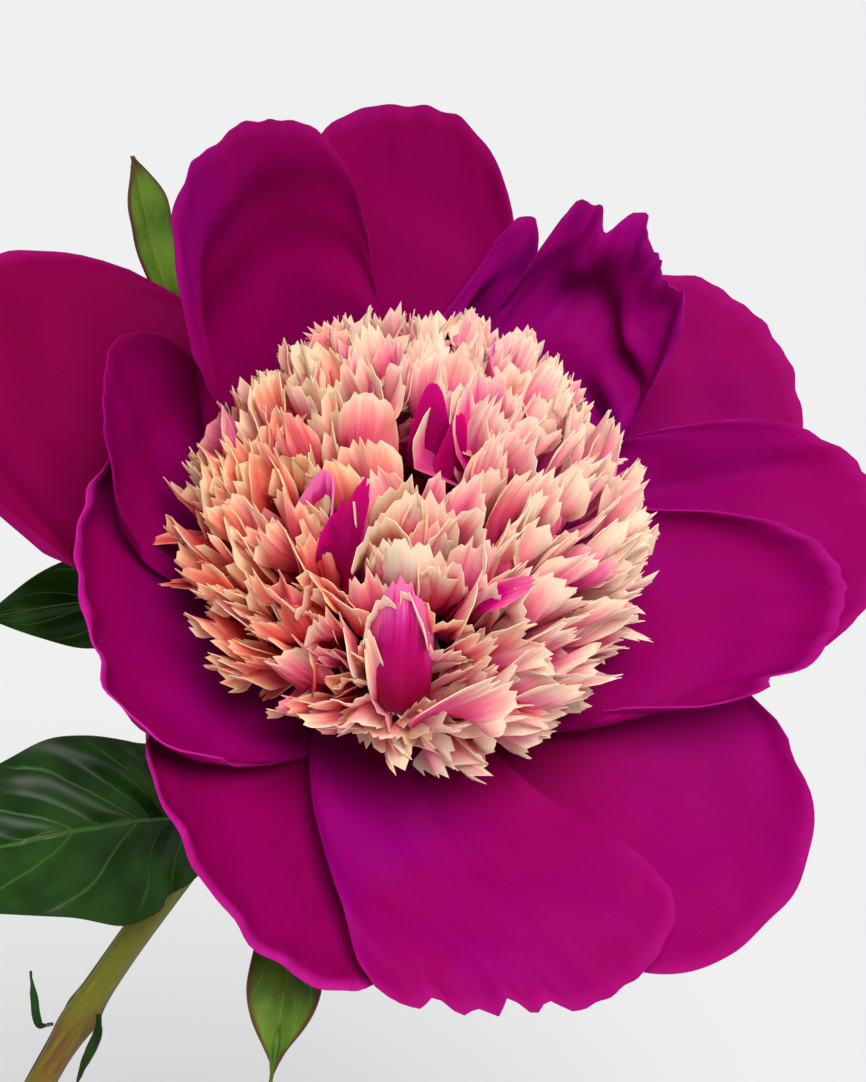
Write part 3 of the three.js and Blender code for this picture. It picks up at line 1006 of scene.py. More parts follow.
@dataclass(frozen=True)
class Stem:
    """The bowed stem with its grooved skin and the swollen joint of the shoots."""

    route: tuple[Triple, ...] = (
        (-17.5, -2, 8.5),
        (-7.5, -1, 72),
        (5.6, 0.6, 134),
        (10.8, 2, 158),
        (22.8, 4, 185.5),
        (51.3, 4, 230.6),
        (75, 2.5, 262),
    )
    foot_radius: float = 3.0
    top_radius: float = 4.2
    thickens: float = 0.75
    joint: float = 0.616
    swelling: float = 0.55
    swelling_reach: float = 6.0
    straight_end: float = 13.0
    receptacle_depth: float = 10.0
    gap: float = 0.3
    ribs: int = 5
    rib_height: float = 0.05
    rib_twist: float = 9.0
    groove: float = 0.1
    groove_angle: float = 0.6
    groove_half: float = 0.35
    knob: float = 0.1
    knob_reach: float = 0.018
    roughness: float = 0.06
    wobble: float = 0.02
    steps_round: int = 32
    steps_along: int = 260

    def course(self) -> Route:
        """The stem's middle line, which ends along the bloom's axis."""
        top = self.receptacle_depth + self.gap
        return Route([*self.route, BLOOM.under(top + self.straight_end), BLOOM.under(top)])

    def radius(self, t: Array, length: float) -> Array:
        """Its radius, without the skin's grooves.

        Args:
            t: Shares of its length.
            length: Its length in millimetres.

        Returns:
            The radius at each share.
        """
        away = (t - self.joint) * length / self.swelling_reach
        top = smooth((t - self.thickens) / (1 - self.thickens))
        return mix(self.foot_radius, self.top_radius, top) + self.swelling * np.exp(-away * away)

    def skin(self) -> Surface:
        """The grooved and knobbly skin.

        Returns:
            A surface in the vase's frame.
        """
        course = self.course()

        def surface(s: Array, t: Array) -> Array:
            """The skin at some places.

            Args:
                s: Places round, from -1 to 1.
                t: Places along, from 0 to 1.

            Returns:
                A point for each place.
            """
            tangent = course.direction(t, evenly=True)
            right = unit(np.cross(np.array([0.0, 1.0, 0.0]), tangent))
            back = np.cross(tangent, right)
            angle = s * math.pi
            radius = self.radius(t, course.length)
            ribs = 1 + self.rib_height * np.cos(angle * self.ribs + t * self.rib_twist)
            furrow = hump(angle, self.groove_angle, self.groove_half)
            groove = 1 - self.groove * furrow * smooth((t - 0.3) / 0.2)
            near = hump(t, self.joint, self.knob_reach)
            rough = self.roughness * waves(angle * 3, t * 300, 5, 3, 8)
            knobs = 1 + near * (self.knob * np.sin(angle * 2 + self.groove_angle) + rough)
            wobble = 1 + self.wobble * waves(angle * 2, t * 30, 7, 2, 6)
            reach = (radius * ribs * groove * knobs * wobble)[:, None]
            cosine, sine = np.cos(angle)[:, None], np.sin(angle)[:, None]
            return course.even(t) + (right * cosine + back * sine) * reach

        return surface

    def build(self, finish: Material) -> None:
        """Makes the stem."""
        made = tube("green_stem_skin", self.skin(), self.steps_round, self.steps_along)
        install(made, finish, Slot.STEM, "stem")


@dataclass(frozen=True)
class Receptacle:
    """The cup that joins the stem to the petals.

    It has no UV map, so the finish of the bracts gives it the reddish colour of their margin all over.
    """

    depth: float = 10.0
    neck: float = 5.0
    petal_base: float = 11.5
    heart_edge: float = 8.0
    heart_height: float = 6.0
    top: float = 9.3
    rings: int = 24
    sides: int = 48

    def build(self, finish: Material) -> None:
        """Makes the receptacle as a turned piece in the bloom's frame.

        Args:
            finish: Its material.
        """
        curve = Route(
            [
                (self.neck, -self.depth, 0),
                (8, -self.depth + 2, 0),
                (self.petal_base + 1.6, -3.6, 0),
                (self.petal_base + 0.6, -1.4, 0),
                (self.petal_base - 2, 3.2, 0),
                (self.heart_edge, self.heart_height - 0.6, 0),
            ]
        ).even(np.linspace(0, 1, self.rings))
        profile = [(0, -self.depth), *[(r, z) for r, z, _ in curve], (0, self.top)]
        made = spun("receptacle_cup", profile, self.sides)
        made.data.transform(BLOOM.matrix())
        install(made, finish, Slot.BRACT, "receptacle")


# ---------------------------------------------------------------- petals


@dataclass(frozen=True)
class Bowl:
    """The bowls that the layers of petals lie in: steep above and at the left, flat below.

    Rise holds, for each eighth of a turn from azimuth 0, the slope of the claws and the final slopes of the
    outermost and of the innermost layer.
    """

    base_radius: float = 12.0
    base_step: float = -1.0
    layer_step: float = 1.6
    start_per_layer: float = 2.2
    bend_start: float = 10.0
    bend_end: float = 62.0
    steps: int = 20
    rise: tuple[Triple, ...] = (
        (4, 8, 24),
        (6, 18, 50),
        (10, 36, 62),
        (12, 26, 70),
        (12, 42, 84),
        (8, 46, 60),
        (1, 6, 14),
        (1, 2, 14),
    )

    def slopes(self, azimuth: Array, layer: float) -> tuple[Array, Array]:
        """The slopes of a layer over the flower plane, in degrees.

        Args:
            azimuth: Directions in degrees.
            layer: 0 for the outermost, 3 for the innermost.

        Returns:
            The slope where the claws leave, and the final one.
        """
        table = np.array(self.rise)
        turn = np.mod(azimuth, 360) / (360 / len(table))
        k = np.floor(turn).astype(int) % len(table)
        x = smooth(turn - np.floor(turn))[..., None]
        start, outer, inner = np.moveaxis(mix(table[k], table[(k + 1) % len(table)], x), -1, 0)
        return start + self.start_per_layer * layer, mix(outer, inner, layer / 3)

    def reach(self, distance: Array, azimuth: Array, layer: float) -> tuple[Array, Array]:
        """Runs out along the bowl from where the claws leave.

        Args:
            distance: How far, in millimetres.
            azimuth: In which direction, in degrees.
            layer: On which layer.

        Returns:
            Radius and height of the points.
        """
        first, last = self.slopes(azimuth, layer)
        radius = self.base_radius + self.base_step * layer + np.zeros(np.shape(distance))
        height = self.layer_step * layer + np.zeros(np.shape(distance))
        for i in range(self.steps):
            at = distance * (i + 0.5) / self.steps
            bend = smooth((at - self.bend_start) / (self.bend_end - self.bend_start))
            slope = np.radians(mix(first, last, bend))
            radius = radius + np.cos(slope) * distance / self.steps
            height = height + np.sin(slope) * distance / self.steps
        return radius, height


BOWL = Bowl()


@dataclass(frozen=True)
class Petal:
    """One guard petal or sepal.

    The first fields place it: azimuth of its claw, layer, length, half-widths clockwise and
    counter-clockwise, the share of the length where it is widest, where its sides turn into the end, how
    square that end is and how far it sweeps aside. The others shape it: curl lifts its two edges, lip turns
    its end up, swell, quiver and ruffle are the heights of slow waves, of quicker ones and of short ones at
    the rim, crumple of sharp ones; dents are notches in the end (place across, half-width, depth) and folds
    are lengthwise channels (place across, half-width, depth); teeth are small jags (from, to, number,
    depth); dips are hollows (place across, place along, half-width, half-length, depth). The shade number
    deepens its colour, partly the petal's own deeper crimson and mostly painted shade on petals turned away
    from the light; purple is how much its patches turn purple, and the rim number paints a pale lilac
    highlight on its rim. Claw is its half-width where it starts, notching the depth of the unevenness of its
    end, and the last four are the shortest and the longest of each kind of waves.
    """

    name: str
    azimuth: float
    layer: float
    length: float
    wide: Span
    full: float
    shoulder: float
    round: float
    sweep: float = 0.0
    curl: Span = (1.5, 1.5)
    lip: float = 0.0
    swell: float = 0.9
    quiver: float = 0.3
    ruffle: float = 0.35
    crumple: float = 0.0
    dents: tuple[Triple, ...] = ()
    folds: tuple[Triple, ...] = ()
    teeth: tuple[float, float, int, float] | None = None
    dips: tuple[tuple[float, float, float, float, float], ...] = ()
    # partly the petal's own deeper crimson, mostly painted shade on petals turned from the light
    shade: float = 0.0
    purple: float = 0.6
    # paints a pale lilac highlight on the rim
    pale_rim: float = 0.25
    claw: float = 4.0
    sweep_end: float = 0.9
    notching: float = 0.006
    swell_waves: Span = (28, 60)
    quiver_waves: Span = (13, 26)
    ruffle_waves: Span = (6, 12)
    crumple_waves: Span = (9, 20)

    @property
    def seed(self) -> int:
        """A number of its own for this petal's waves."""
        return sum(map(ord, self.name))

    def shortening(self, s: Array, t: Array) -> Array:
        """What the notches and jags of the end take away.

        Args:
            s: Places across, from -1 to 1.
            t: Places along, from 0 to 1.

        Returns:
            Shares of the length.
        """
        lost = self.notching * waves(s * 10, s * 0, self.seed + 3, 1.2, 6)
        for place, half, depth in self.dents:
            lost = lost + depth * hump(s, place, half)
        if self.teeth:
            first, last, count, depth = self.teeth
            phase = np.clip((s - first) / (last - first), 0, 1) * count
            sharp = 1 - np.abs(2 * (phase - np.floor(phase)) - 1)
            lost = lost + depth * sharp * (0.65 + 0.35 * np.sin(np.floor(phase) * 2.3 + self.seed))
        return lost * smooth((t - 0.55) / 0.45)

    def base(self, s: Array, t: Array) -> Array:
        """Its smooth middle surface in the bloom's frame.

        Args:
            s: Places across, from -1 to 1.
            t: Places along, from 0 to 1.

        Returns:
            A point for each place.
        """
        end = (1 - np.minimum(1, np.abs(s)) ** self.round) ** (1 / self.round)
        distance = t * self.length * mix(self.shoulder, 1, end) * (1 - self.shortening(s, t))
        widest = np.where(s < 0, self.wide[0], self.wide[1])
        half = mix(self.claw, widest, np.sin(math.pi / 2 * np.minimum(1, t / self.full)))
        centre = self.azimuth + self.sweep * smooth(t / self.sweep_end)
        middle, _ = BOWL.reach(distance, centre, self.layer)
        azimuth = centre + np.degrees(s * half / middle)
        radius, height = BOWL.reach(distance, azimuth, self.layer)
        turn = np.radians(azimuth)
        return np.stack([radius * np.cos(turn), radius * np.sin(turn), height], -1)

    def relief(self, s: Array, t: Array) -> Array:
        """How far it stands up from that surface.

        Args:
            s: Places across, from -1 to 1.
            t: Places along, from 0 to 1.

        Returns:
            Heights in millimetres.
        """
        edge = np.abs(s)
        rim = np.maximum(edge, t)
        x, y = s * self.wide[0], t * self.length
        up = np.where(s < 0, self.curl[0], self.curl[1]) * edge**3 * smooth(t / 0.6)
        up = up + self.lip * smooth((t - 0.8) / 0.2) ** 2
        up = up + self.swell * waves(x, y, self.seed, *self.swell_waves) * smooth((t - 0.15) / 0.5)
        up = up + self.quiver * waves(x, y, self.seed + 4, *self.quiver_waves) * smooth((t - 0.2) / 0.4)
        short = waves(s * 30, t * 30, self.seed + 1, *self.ruffle_waves)
        up = up + self.ruffle * short * smooth((rim - 0.75) / 0.25)
        if self.crumple:
            sharp = np.abs(waves(x, y * 0.6, self.seed + 2, *self.crumple_waves)) - 0.6
            up = up + self.crumple * sharp * smooth((t - 0.35) / 0.4)
        for place, half, depth in self.folds:
            up = up - depth * hump(s, place, half) * smooth(t / 0.3) * smooth((1.05 - t) / 0.35)
        for across, along, half, reach, depth in self.dips:
            up = up - depth * hump(s, across, half) * hump(t, along, reach)
        return up

    def surface(self) -> Surface:
        """Its middle surface with all its relief.

        Returns:
            A surface in the vase's frame.
        """

        def shaped(s: Array, t: Array) -> Array:
            """The base moved along its normals by the relief.

            Args:
                s: Places across, from -1 to 1.
                t: Places along, from 0 to 1.

            Returns:
                A point for each place.
            """
            inside = np.clip(s, -0.995, 0.995)
            lift = self.relief(s, t)[:, None]
            return self.base(s, t) + upper_normal(self.base, inside, np.clip(t, 0.01, 0.99)) * lift

        return BLOOM.carry(shaped)


@dataclass(frozen=True)
class GuardPetals:
    """The ring of broad guard petals."""

    across: int = 48
    along: int = 52
    wall: float = 0.35
    petals: tuple[Petal, ...] = (
        Petal(
            "outer_petal_left", azimuth=154, layer=-0.8, length=90, wide=(33, 31), full=0.65, shoulder=0.62,
            round=2.4, curl=(1, 2), lip=-2, swell=1.2, shade=0.6,
        ),
        Petal(
            "outer_petal_top", azimuth=92, layer=0.6, length=83, wide=(22.5, 25), full=0.65, shoulder=0.62,
            round=2.3, curl=(0, 2), folds=((0.3, 0.2, 1.5),), shade=0.38,
        ),
        Petal(
            "outer_petal_upper_right", azimuth=38, layer=0, length=76, wide=(28, 28), full=0.65,
            shoulder=0.62, round=2.6, lip=-2, swell=1.2, shade=0.15,
        ),
        Petal(
            "outer_petal_lower_right", azimuth=318.5, layer=-0.8, length=77, wide=(31, 31), full=0.6,
            shoulder=0.62, round=2.6, curl=(1, 3), lip=2, swell=1.0, dents=((0.85, 0.05, 0.03),),
            purple=0.35,
        ),
        Petal(
            "outer_petal_lower_left", azimuth=250, layer=0, length=70, wide=(36, 28), full=0.6,
            shoulder=0.64, round=2.7, curl=(-1.5, -2), lip=3.5, swell=0.6, ruffle=0.6, pale_rim=0.8,
            purple=0.1, shade=0.12,
        ),
        Petal(
            "middle_petal_right", azimuth=8, layer=1.2, length=80, wide=(27, 25), full=0.6, shoulder=0.6,
            round=2.3, curl=(0, 3), swell=1.0, folds=((0.55, 0.12, 1.5),),
        ),
        Petal(
            "middle_petal_left", azimuth=198, layer=1.2, length=64.5, wide=(32, 30), full=0.6,
            shoulder=0.75, round=3, curl=(3, 0.3), lip=2.5, swell=0.8, ruffle=0.7, pale_rim=1.0,
        ),
        Petal(
            "inner_petal_upper_left", azimuth=130, sweep=-4, layer=3.2, length=96, wide=(23, 23), full=0.6,
            shoulder=0.66, round=2.3, shade=0.15, purple=0.9, curl=(2, 5), swell=1.2,
            folds=((-0.35, 0.22, 1.6), (0.3, 0.2, 1.0)),
        ),
        Petal(
            "inner_petal_left", azimuth=163, layer=2.2, length=72, wide=(20, 18), full=0.6, shoulder=0.66,
            round=2.3, curl=(2, -1), lip=1, pale_rim=0.1,
        ),
        Petal(
            "inner_petal_right", azimuth=330, sweep=26, layer=2.4, length=72, wide=(23, 17), full=0.45,
            shoulder=0.54, round=2.3, curl=(1, 4), lip=1.5, swell=1.0, dents=((-0.72, 0.04, 0.05),),
            pale_rim=0.5,
        ),
        Petal(
            "inner_petal_bottom", azimuth=266, sweep=25.5, layer=1.8, length=76, wide=(35, 25), full=1.18,
            shoulder=0.85, round=2.05, curl=(1.0, 0.5), lip=-3, swell=1.0,
            folds=((-0.2, 0.14, 0.8), (0.2, 0.1, 0.8)), teeth=(-0.78, -0.05, 4, 0.06), sweep_end=1.1,
            purple=0.95,
        ),
        Petal(
            "frilled_petal_top", azimuth=76, sweep=-5, layer=2.2, length=68, wide=(9, 13.5), full=0.6,
            shoulder=0.5, round=1.8, curl=(1, 2), crumple=1.0, ruffle=0.8,
            dents=((0.75, 0.42, 0.17), (-0.5, 0.34, 0.15)),
            dips=((0.35, 0.66, 0.16, 0.14, 4.0), (-0.1, 0.6, 0.2, 0.2, -2.0), (0.75, 0.8, 0.15, 0.1, -2.0)),
            shade=0.1, purple=1.0,
        ),
        Petal(
            "frilled_petal_upper_right", azimuth=54.5, layer=3.2, length=77, wide=(17, 15.5), full=0.6,
            shoulder=0.78, round=2.6, curl=(0.5, 1), crumple=0.8, ruffle=1.2, lip=1,
            dents=(
                (0.36, 0.12, 0.075),
                (0.66, 0.2, -0.01),
                (0.05, 0.14, -0.01),
                (-0.5, 0.36, 0.065),
                (1.0, 0.1, 0.06),
            ),
            teeth=(-0.75, 0.0, 8, 0.018),
            dips=(
                (0.25, 0.74, 0.3, 0.07, 6.5),
                (-0.15, 0.72, 0.25, 0.06, 4.5),
                (0.6, 0.9, 0.2, 0.08, -3.0),
                (0.1, 0.92, 0.2, 0.07, -3.0),
                (-0.55, 0.76, 0.3, 0.035, -3.0),
                (-0.6, 0.69, 0.35, 0.025, 3.0),
                (-0.6, 0.62, 0.35, 0.04, -2.6),
                (-0.65, 0.54, 0.3, 0.025, 2.4),
                (-0.6, 0.46, 0.3, 0.04, -2.0),
            ),
            shade=0.1, purple=1.0,
        ),
    )

    def build(self, finish: Material) -> None:
        """Makes every guard petal.

        Args:
            finish: Their material.
        """
        for petal in self.petals:
            made = sheet(f"{petal.name}_blade", petal.surface(), self.across, self.along, self.wall)
            carry_numbers(made, {"shade": petal.shade, "purple": petal.purple, "pale_rim": petal.pale_rim})
            install(made, finish, Slot.PETAL, petal.name)


@dataclass(frozen=True)
class Sepals:
    """The five green sepals that hug the receptacle."""

    count: int = 5
    first: float = 20.0
    layer: float = -1.9
    length: float = 22.0
    half: float = 9.0
    wall: float = 0.9
    steps: int = 20

    def build(self, finish: Material) -> None:
        """Makes every sepal.

        Args:
            finish: Their material.
        """
        for i in range(self.count):
            sepal = Petal(
                f"sepal_{i + 1}", azimuth=self.first + 360 / self.count * i, layer=self.layer,
                length=self.length, wide=(self.half, self.half), full=0.55, shoulder=0.5, round=2,
                curl=(-1, -1), swell=0.3, ruffle=0.2,
            )
            made = sheet(f"{sepal.name}_blade", sepal.surface(), self.steps, self.steps, self.wall)
            install(made, finish, Slot.BRACT, sepal.name)


# ---------------------------------------------------------------- heart of the bloom


@dataclass(frozen=True)
class Petaloid:
    """One strap or fan of the heart, from its start on the receptacle to its jagged tip.

    Heading is where its tip points, outer the side that its outer face looks to and half its half-width.
    Cup bends its sides toward that face, bend its tip; ripple is the height of its waves and phase their
    place; jags are what each column of its tip lacks in millimetres and columns where each one lies. Roll
    turns it round its run, sag moves the middle of the run, and follow is the share of its length over
    which it keeps its heading. It widens from claw between the shares opens and full, and round takes its
    corners back.
    """

    start: Array
    tip: Array
    heading: Array
    outer: Array
    half: float
    cup: float = 0.3
    bend: float = 0.0
    ripple: float = 0.0
    phase: float = 0.0
    jags: tuple[float, ...] = (0.0, 0.0)
    columns: tuple[float, ...] = (-1.0, 1.0)
    roll: float = 0.0
    claw: float = 0.6
    opens: float = 0.35
    full: float = 0.86
    round: float = 0.07
    follow: float = 0.42
    sag: Triple = (0.0, 0.0, 0.0)
    leave: float = 0.3
    steepness: float = 4.0
    across_waves: float = 5.5
    along_waves: float = 9.0
    level: float = 0.35
    crowding: ClassVar[float] = 1.8

    def surface(self, s: Array, t: Array) -> Array:
        """Its middle surface in the bloom's frame; rows crowd toward the tip.

        Args:
            s: Places across, from -1 to 1.
            t: Places along, from 0 to 1.

        Returns:
            A point for each place.
        """
        t = 1 - (1 - t) ** self.crowding
        length = float(np.linalg.norm(self.tip - self.start))
        outward = unit(np.array([self.start[0], self.start[1], self.steepness]))
        sag = np.array(self.sag)
        p0, p1 = self.start, self.start + outward * length * self.leave + sag
        p2, p3 = self.tip - self.heading * length * self.follow + sag, self.tip
        even = np.linspace(-1, 1, len(self.jags))
        jag = np.interp(s, even, self.jags) / length
        place = np.interp(s, even, self.columns)
        x = t - (self.round * np.abs(place) ** 2.5 + jag) * smooth((t - 0.6) / 0.4)
        x = x[:, None]
        y = 1 - x
        spine = p0 * y**3 + p1 * 3 * x * y**2 + p2 * 3 * x**2 * y + p3 * x**3
        tangent = unit((p1 - p0) * y**2 + (p2 - p1) * 2 * x * y + (p3 - p2) * x**2)
        side = unit(np.cross(np.broadcast_to(self.outer, tangent.shape), tangent))
        outer = np.cross(tangent, side)
        side, outer = (
            side * math.cos(self.roll) + outer * math.sin(self.roll),
            outer * math.cos(self.roll) - side * math.sin(self.roll),
        )
        opened = smooth((t - self.opens) / (self.full - self.opens))
        half = mix(self.claw, self.half, opened)
        rise = self.cup * (place * place - self.level) * half * opened
        rise = rise + self.bend * smooth((t - 0.75) / 0.25) ** 2
        phase = place * self.across_waves + self.phase + t * self.along_waves
        rise = rise + self.ripple * np.sin(phase) * opened
        return spine + side * (place * half)[:, None] + outer * rise[:, None]


@dataclass(frozen=True)
class Special:
    """A petaloid or petal with a place of its own in the heart.

    Tip and heading place it, half is its half-width, and tone and flush colour it. Cup, bend, round, full
    and sag shape it as they do a petaloid, and jagged is how much of the usual jags its edge has.
    """

    name: str
    tip: Triple
    heading: Triple
    half: float
    tone: float = 1.0
    flush: float = 0.8
    cup: float = 0.4
    bend: float = 0.0
    jagged: float = 0.0
    round: float = 0.1
    full: float = 0.86
    sag: Triple = (0.0, 0.0, 0.0)


@dataclass(frozen=True)
class HeartColours:
    """How tone and flush change over the heart.

    Places are shares of the ball's radius to the right of its axis and above it. A patch has the place of
    its middle and its half-width, to the right and up. A few petaloids are deeper in colour anywhere, and
    so are all round a clearing: those two hold what is added to tone and flush.
    """

    tone: float = 0.56
    tone_right: float = 0.42
    tone_middle: float = 0.2
    tone_up: float = 0.3
    tone_scatter: float = 0.12
    flush: float = 0.46
    # More flush to the left and in a patch low on the left: partly deeper colour, partly painted shade on the
    # side turned from the light and in the gaps there.
    flush_and_shade_left: float = 0.12
    flush_middle: float = 0.1
    flush_and_shade_far_left: float = 0.22
    flush_and_shade_low_left: float = 0.25
    flush_scatter: float = 0.16
    far_left: float = 0.2
    middle: tuple[Span, Span] = ((-0.02, 0.35), (-0.3, 0.5))
    shaded_low_left: tuple[Span, Span] = ((-0.5, 0.35), (-0.55, 0.3))
    deeper_share: float = 0.06
    deeper: Span = (0.4, 0.45)
    deeper_round_clearing: Span = (0.1, 0.15)

    @staticmethod
    def within(patch: tuple[Span, Span], x: float, y: float) -> float:
        """How far a place lies within a patch.

        Args:
            patch: The patch.
            x: How far the place lies to the right.
            y: How far it lies up.

        Returns:
            1 in the patch's middle, and less further out.
        """
        (right, half_across), (up, half_along) = patch
        return math.exp(-(((x - right) / half_across) ** 2) - ((y - up) / half_along) ** 2)

    def at(self, x: float, y: float, opened: bool, dice: random.Random) -> tuple[float, float]:
        """The colours at a place.

        Args:
            x: How far it lies to the right.
            y: How far it lies up.
            opened: Whether it lies in a clearing or on its rim.
            dice: Source of random numbers.

        Returns:
            Tone from warm to pink, and flush from cream to magenta.
        """
        middle = self.within(self.middle, x, y)
        tone = self.tone + self.tone_right * x + self.tone_middle * middle + self.tone_up * max(y, 0)
        tone += dice.gauss(0, self.tone_scatter)
        # Flush grows to the left and low on the left: partly colour, partly painted shade.
        flush = self.flush - self.flush_and_shade_left * x + self.flush_middle * middle
        flush += self.flush_and_shade_far_left * (max(-x - self.far_left, 0) * (1 - y))
        flush += self.flush_and_shade_low_left * self.within(self.shaded_low_left, x, y)
        flush += dice.gauss(0, self.flush_scatter)
        added = [self.deeper] if dice.random() < self.deeper_share else []
        if opened:
            added.append(self.deeper_round_clearing)
        for more_tone, more_flush in added:
            tone += more_tone
            flush += more_flush
        return min(max(tone, 0.0), 1.0), min(max(flush, 0.0), 1.0)


@dataclass(frozen=True)
class Heart:
    """The ball of jagged petaloids, in six whorls.

    Radius and centre place the ball on the bloom's axis. Its rim is higher by lift on the side of
    lift_azimuth and by tuck near tuck_azimuth, and last_angle is how far from the pole it reaches. Bounds
    are the angles that part the whorls. Every petaloid points away from focus. A clearing has a direction,
    an angle round it and the share of the radius at which its petaloids end; where that is 0 none grows.
    Scatter is how many degrees a tip strays down and round. Notches, points and splits are the depths in
    millimetres of the teeth of an edge. Bends are a mean and a deviation, and cups, ripples, depths and
    halves the least and the most. Specials are petaloids of set places, and spikes the tips of thin straps
    that stick out.
    """

    radius: float = 43.0
    centre: float = 26.0
    lift: float = 26.0
    lift_azimuth: float = 128.0
    tuck: float = 23.0
    tuck_azimuth: float = 246.0
    tuck_half: float = 30.0
    full_lift: float = 112.0
    last_angle: float = 114.0
    bounds: tuple[float, ...] = (22, 43, 63, 83, 103, 180)
    count: int = 350
    focus: Triple = (-4.0, -34.0, 27.5)
    clearings: tuple[tuple[Triple, float, float], ...] = ()
    clearing_rim: float = 2.0
    depths: Span = (0.95, 1.03)
    cleared_depths: Span = (0.95, 1.05)
    scatter: Span = (3.0, 6.0)
    heading_scatter: float = 0.13
    narrow_share: float = 0.18
    narrow_half: Span = (1.3, 2.4)
    broad_half: Span = (3.4, 6.4)
    notches: Span = (0.8, 2.7)
    points: Span = (0.0, 1.1)
    splits: tuple[float, ...] = (0.0, 0.0, 1.5, 3.0)
    split_half: float = 0.12
    split_places: float = 0.5
    pointed: float = 2.5
    lean: float = 1.2
    uneven: float = 0.35
    strap_jags: float = 0.6
    cups: Span = (-0.9, 1.1)
    bends: Span = (-0.3, 1.8)
    ripples: Span = (0.4, 1.2)
    full_ripple: float = 4.0
    rolls: float = 0.3
    strap_half: Span = (1.0, 1.7)
    strap_scatter: float = 0.2
    strap_bend: float = 2.0
    seat_ring: float = 18.0
    seat_radius: Span = (0.9, 1.08)
    seat_height: Span = (9.2, -0.5)
    colours: HeartColours = HeartColours()
    columns: int = 14
    rows: int = 8
    wall: float = 0.16
    seed: int = 11
    specials: tuple[Special, ...] = ()
    spikes: tuple[Triple, ...] = ()

    @property
    def middle(self) -> Array:
        """The ball's centre."""
        return np.array([0.0, 0.0, self.centre])

    def ball(self, angle: float, azimuth: float, share: float = 1.0) -> Array:
        """A point of the ball.

        Args:
            angle: Angle from its pole, before the rim is lifted.
            azimuth: Direction round the pole.
            share: Share of the radius.

        Returns:
            The point in the bloom's frame.
        """
        toward = 0.5 + 0.5 * math.cos(math.radians(azimuth - self.lift_azimuth))
        aside = (azimuth - self.tuck_azimuth + 180) % 360 - 180
        raised = self.tuck * math.exp(-((aside / self.tuck_half) ** 2))
        polar = math.radians(angle - (self.lift * toward + raised) * (angle / self.full_lift) ** 2)
        turn = math.radians(azimuth)
        out = np.array([math.sin(polar) * math.cos(turn), math.sin(polar) * math.sin(turn), math.cos(polar)])
        return out * self.radius * share + self.middle

    def seat(self, tip: Array) -> Array:
        """Where on the receptacle a petaloid starts.

        Args:
            tip: Its tip.

        Returns:
            A point that lies further out for a tip further from the pole.
        """
        away = tip - self.middle
        turn = math.atan2(away[1], away[0])
        ring = math.degrees(math.acos(away[2] / float(np.linalg.norm(away)))) / self.seat_ring
        radius, height = (first + step * ring for first, step in (self.seat_radius, self.seat_height))
        return np.array([radius * math.cos(turn), radius * math.sin(turn), height])

    def tipped(self, narrow: bool, dice: random.Random) -> tuple[tuple[float, ...], tuple[float, ...]]:
        """An uneven edge of pointed teeth.

        Args:
            narrow: Whether it is the edge of a strap, which has shallower teeth.
            dice: Source of random numbers.

        Returns:
            What each column lacks in millimetres, and the place of each.
        """
        split = dice.uniform(-self.split_places, self.split_places)
        depth = dice.choice(self.splits)
        pointed = dice.uniform(0, self.pointed)
        lean = dice.uniform(-self.lean, self.lean)
        jags, places = [], []
        for i in range(self.columns + 1):
            place = -1 + 2 * i / self.columns
            if 0 < i < self.columns:
                place += dice.uniform(-self.uneven, self.uneven) * 2 / self.columns
            jag = dice.uniform(*self.notches) if i % 2 == 0 else dice.uniform(*self.points)
            cut = math.exp(-(((place - split) / self.split_half) ** 2))
            jag += depth * cut + pointed * abs(place) + lean * place
            jags.append(max(jag, 0.0) * (self.strap_jags if narrow else 1))
            places.append(place)
        return tuple(jags), tuple(places)

    def petaloid(self, angle: float, azimuth: float, dice: random.Random) -> Petaloid:
        """One petaloid of the ball, uneven as grown.

        Args:
            angle: Angle of its tip from the pole.
            azimuth: Direction of its tip.
            dice: Source of random numbers.

        Returns:
            The petaloid.
        """
        tip = self.ball(angle, azimuth, dice.uniform(*self.depths))
        away = unit(tip - self.middle)
        for direction, reach, share in self.clearings:
            if self.between(away, np.array(direction)) < reach:
                tip = self.ball(angle, azimuth, share * dice.uniform(*self.cleared_depths))
        heading = unit(tip - np.array(self.focus))
        heading = unit(heading + np.array([dice.gauss(0, self.heading_scatter) for _ in range(3)]))
        narrow = dice.random() < self.narrow_share
        half = dice.uniform(*(self.narrow_half if narrow else self.broad_half))
        jags, places = self.tipped(narrow, dice)
        return Petaloid(
            self.seat(tip),
            tip,
            heading,
            away,
            half,
            cup=dice.uniform(*self.cups),
            bend=dice.gauss(*self.bends),
            ripple=dice.uniform(*self.ripples) * min(1, half / self.full_ripple),
            phase=dice.uniform(0, math.tau),
            jags=jags,
            columns=places,
            roll=dice.gauss(0, self.rolls),
        )

    @staticmethod
    def between(a: Array, b: Array) -> float:
        """The angle between two directions, in degrees."""
        return math.degrees(math.acos(min(1.0, float(unit(a) @ unit(b)))))

    def colouring(self, tip: Array, dice: random.Random) -> tuple[float, float]:
        """The colours of a petaloid by its place.

        Args:
            tip: Its tip.
            dice: Source of random numbers.

        Returns:
            Tone from warm to pink, and flush from cream to magenta.
        """
        away = tip - self.middle
        opened = any(
            self.between(away, np.array(direction)) - reach < self.clearing_rim
            for direction, reach, _ in self.clearings
        )
        return self.colours.at(tip[0] / self.radius, tip[1] / self.radius, opened, dice)

    def special(self, item: Special, dice: random.Random) -> Petaloid:
        """The petaloid of a set place.

        Args:
            item: What is set for it.
            dice: Source of random numbers, for its jags.

        Returns:
            The petaloid.
        """
        tip = np.array(item.tip)
        jags, places = self.tipped(False, dice)
        return Petaloid(
            self.seat(tip),
            tip,
            unit(np.array(item.heading)),
            unit(tip - self.middle),
            item.half,
            cup=item.cup,
            bend=item.bend,
            jags=tuple(j * item.jagged for j in jags),
            columns=places,
            claw=1.2,
            round=item.round,
            full=item.full,
            sag=item.sag,
        )

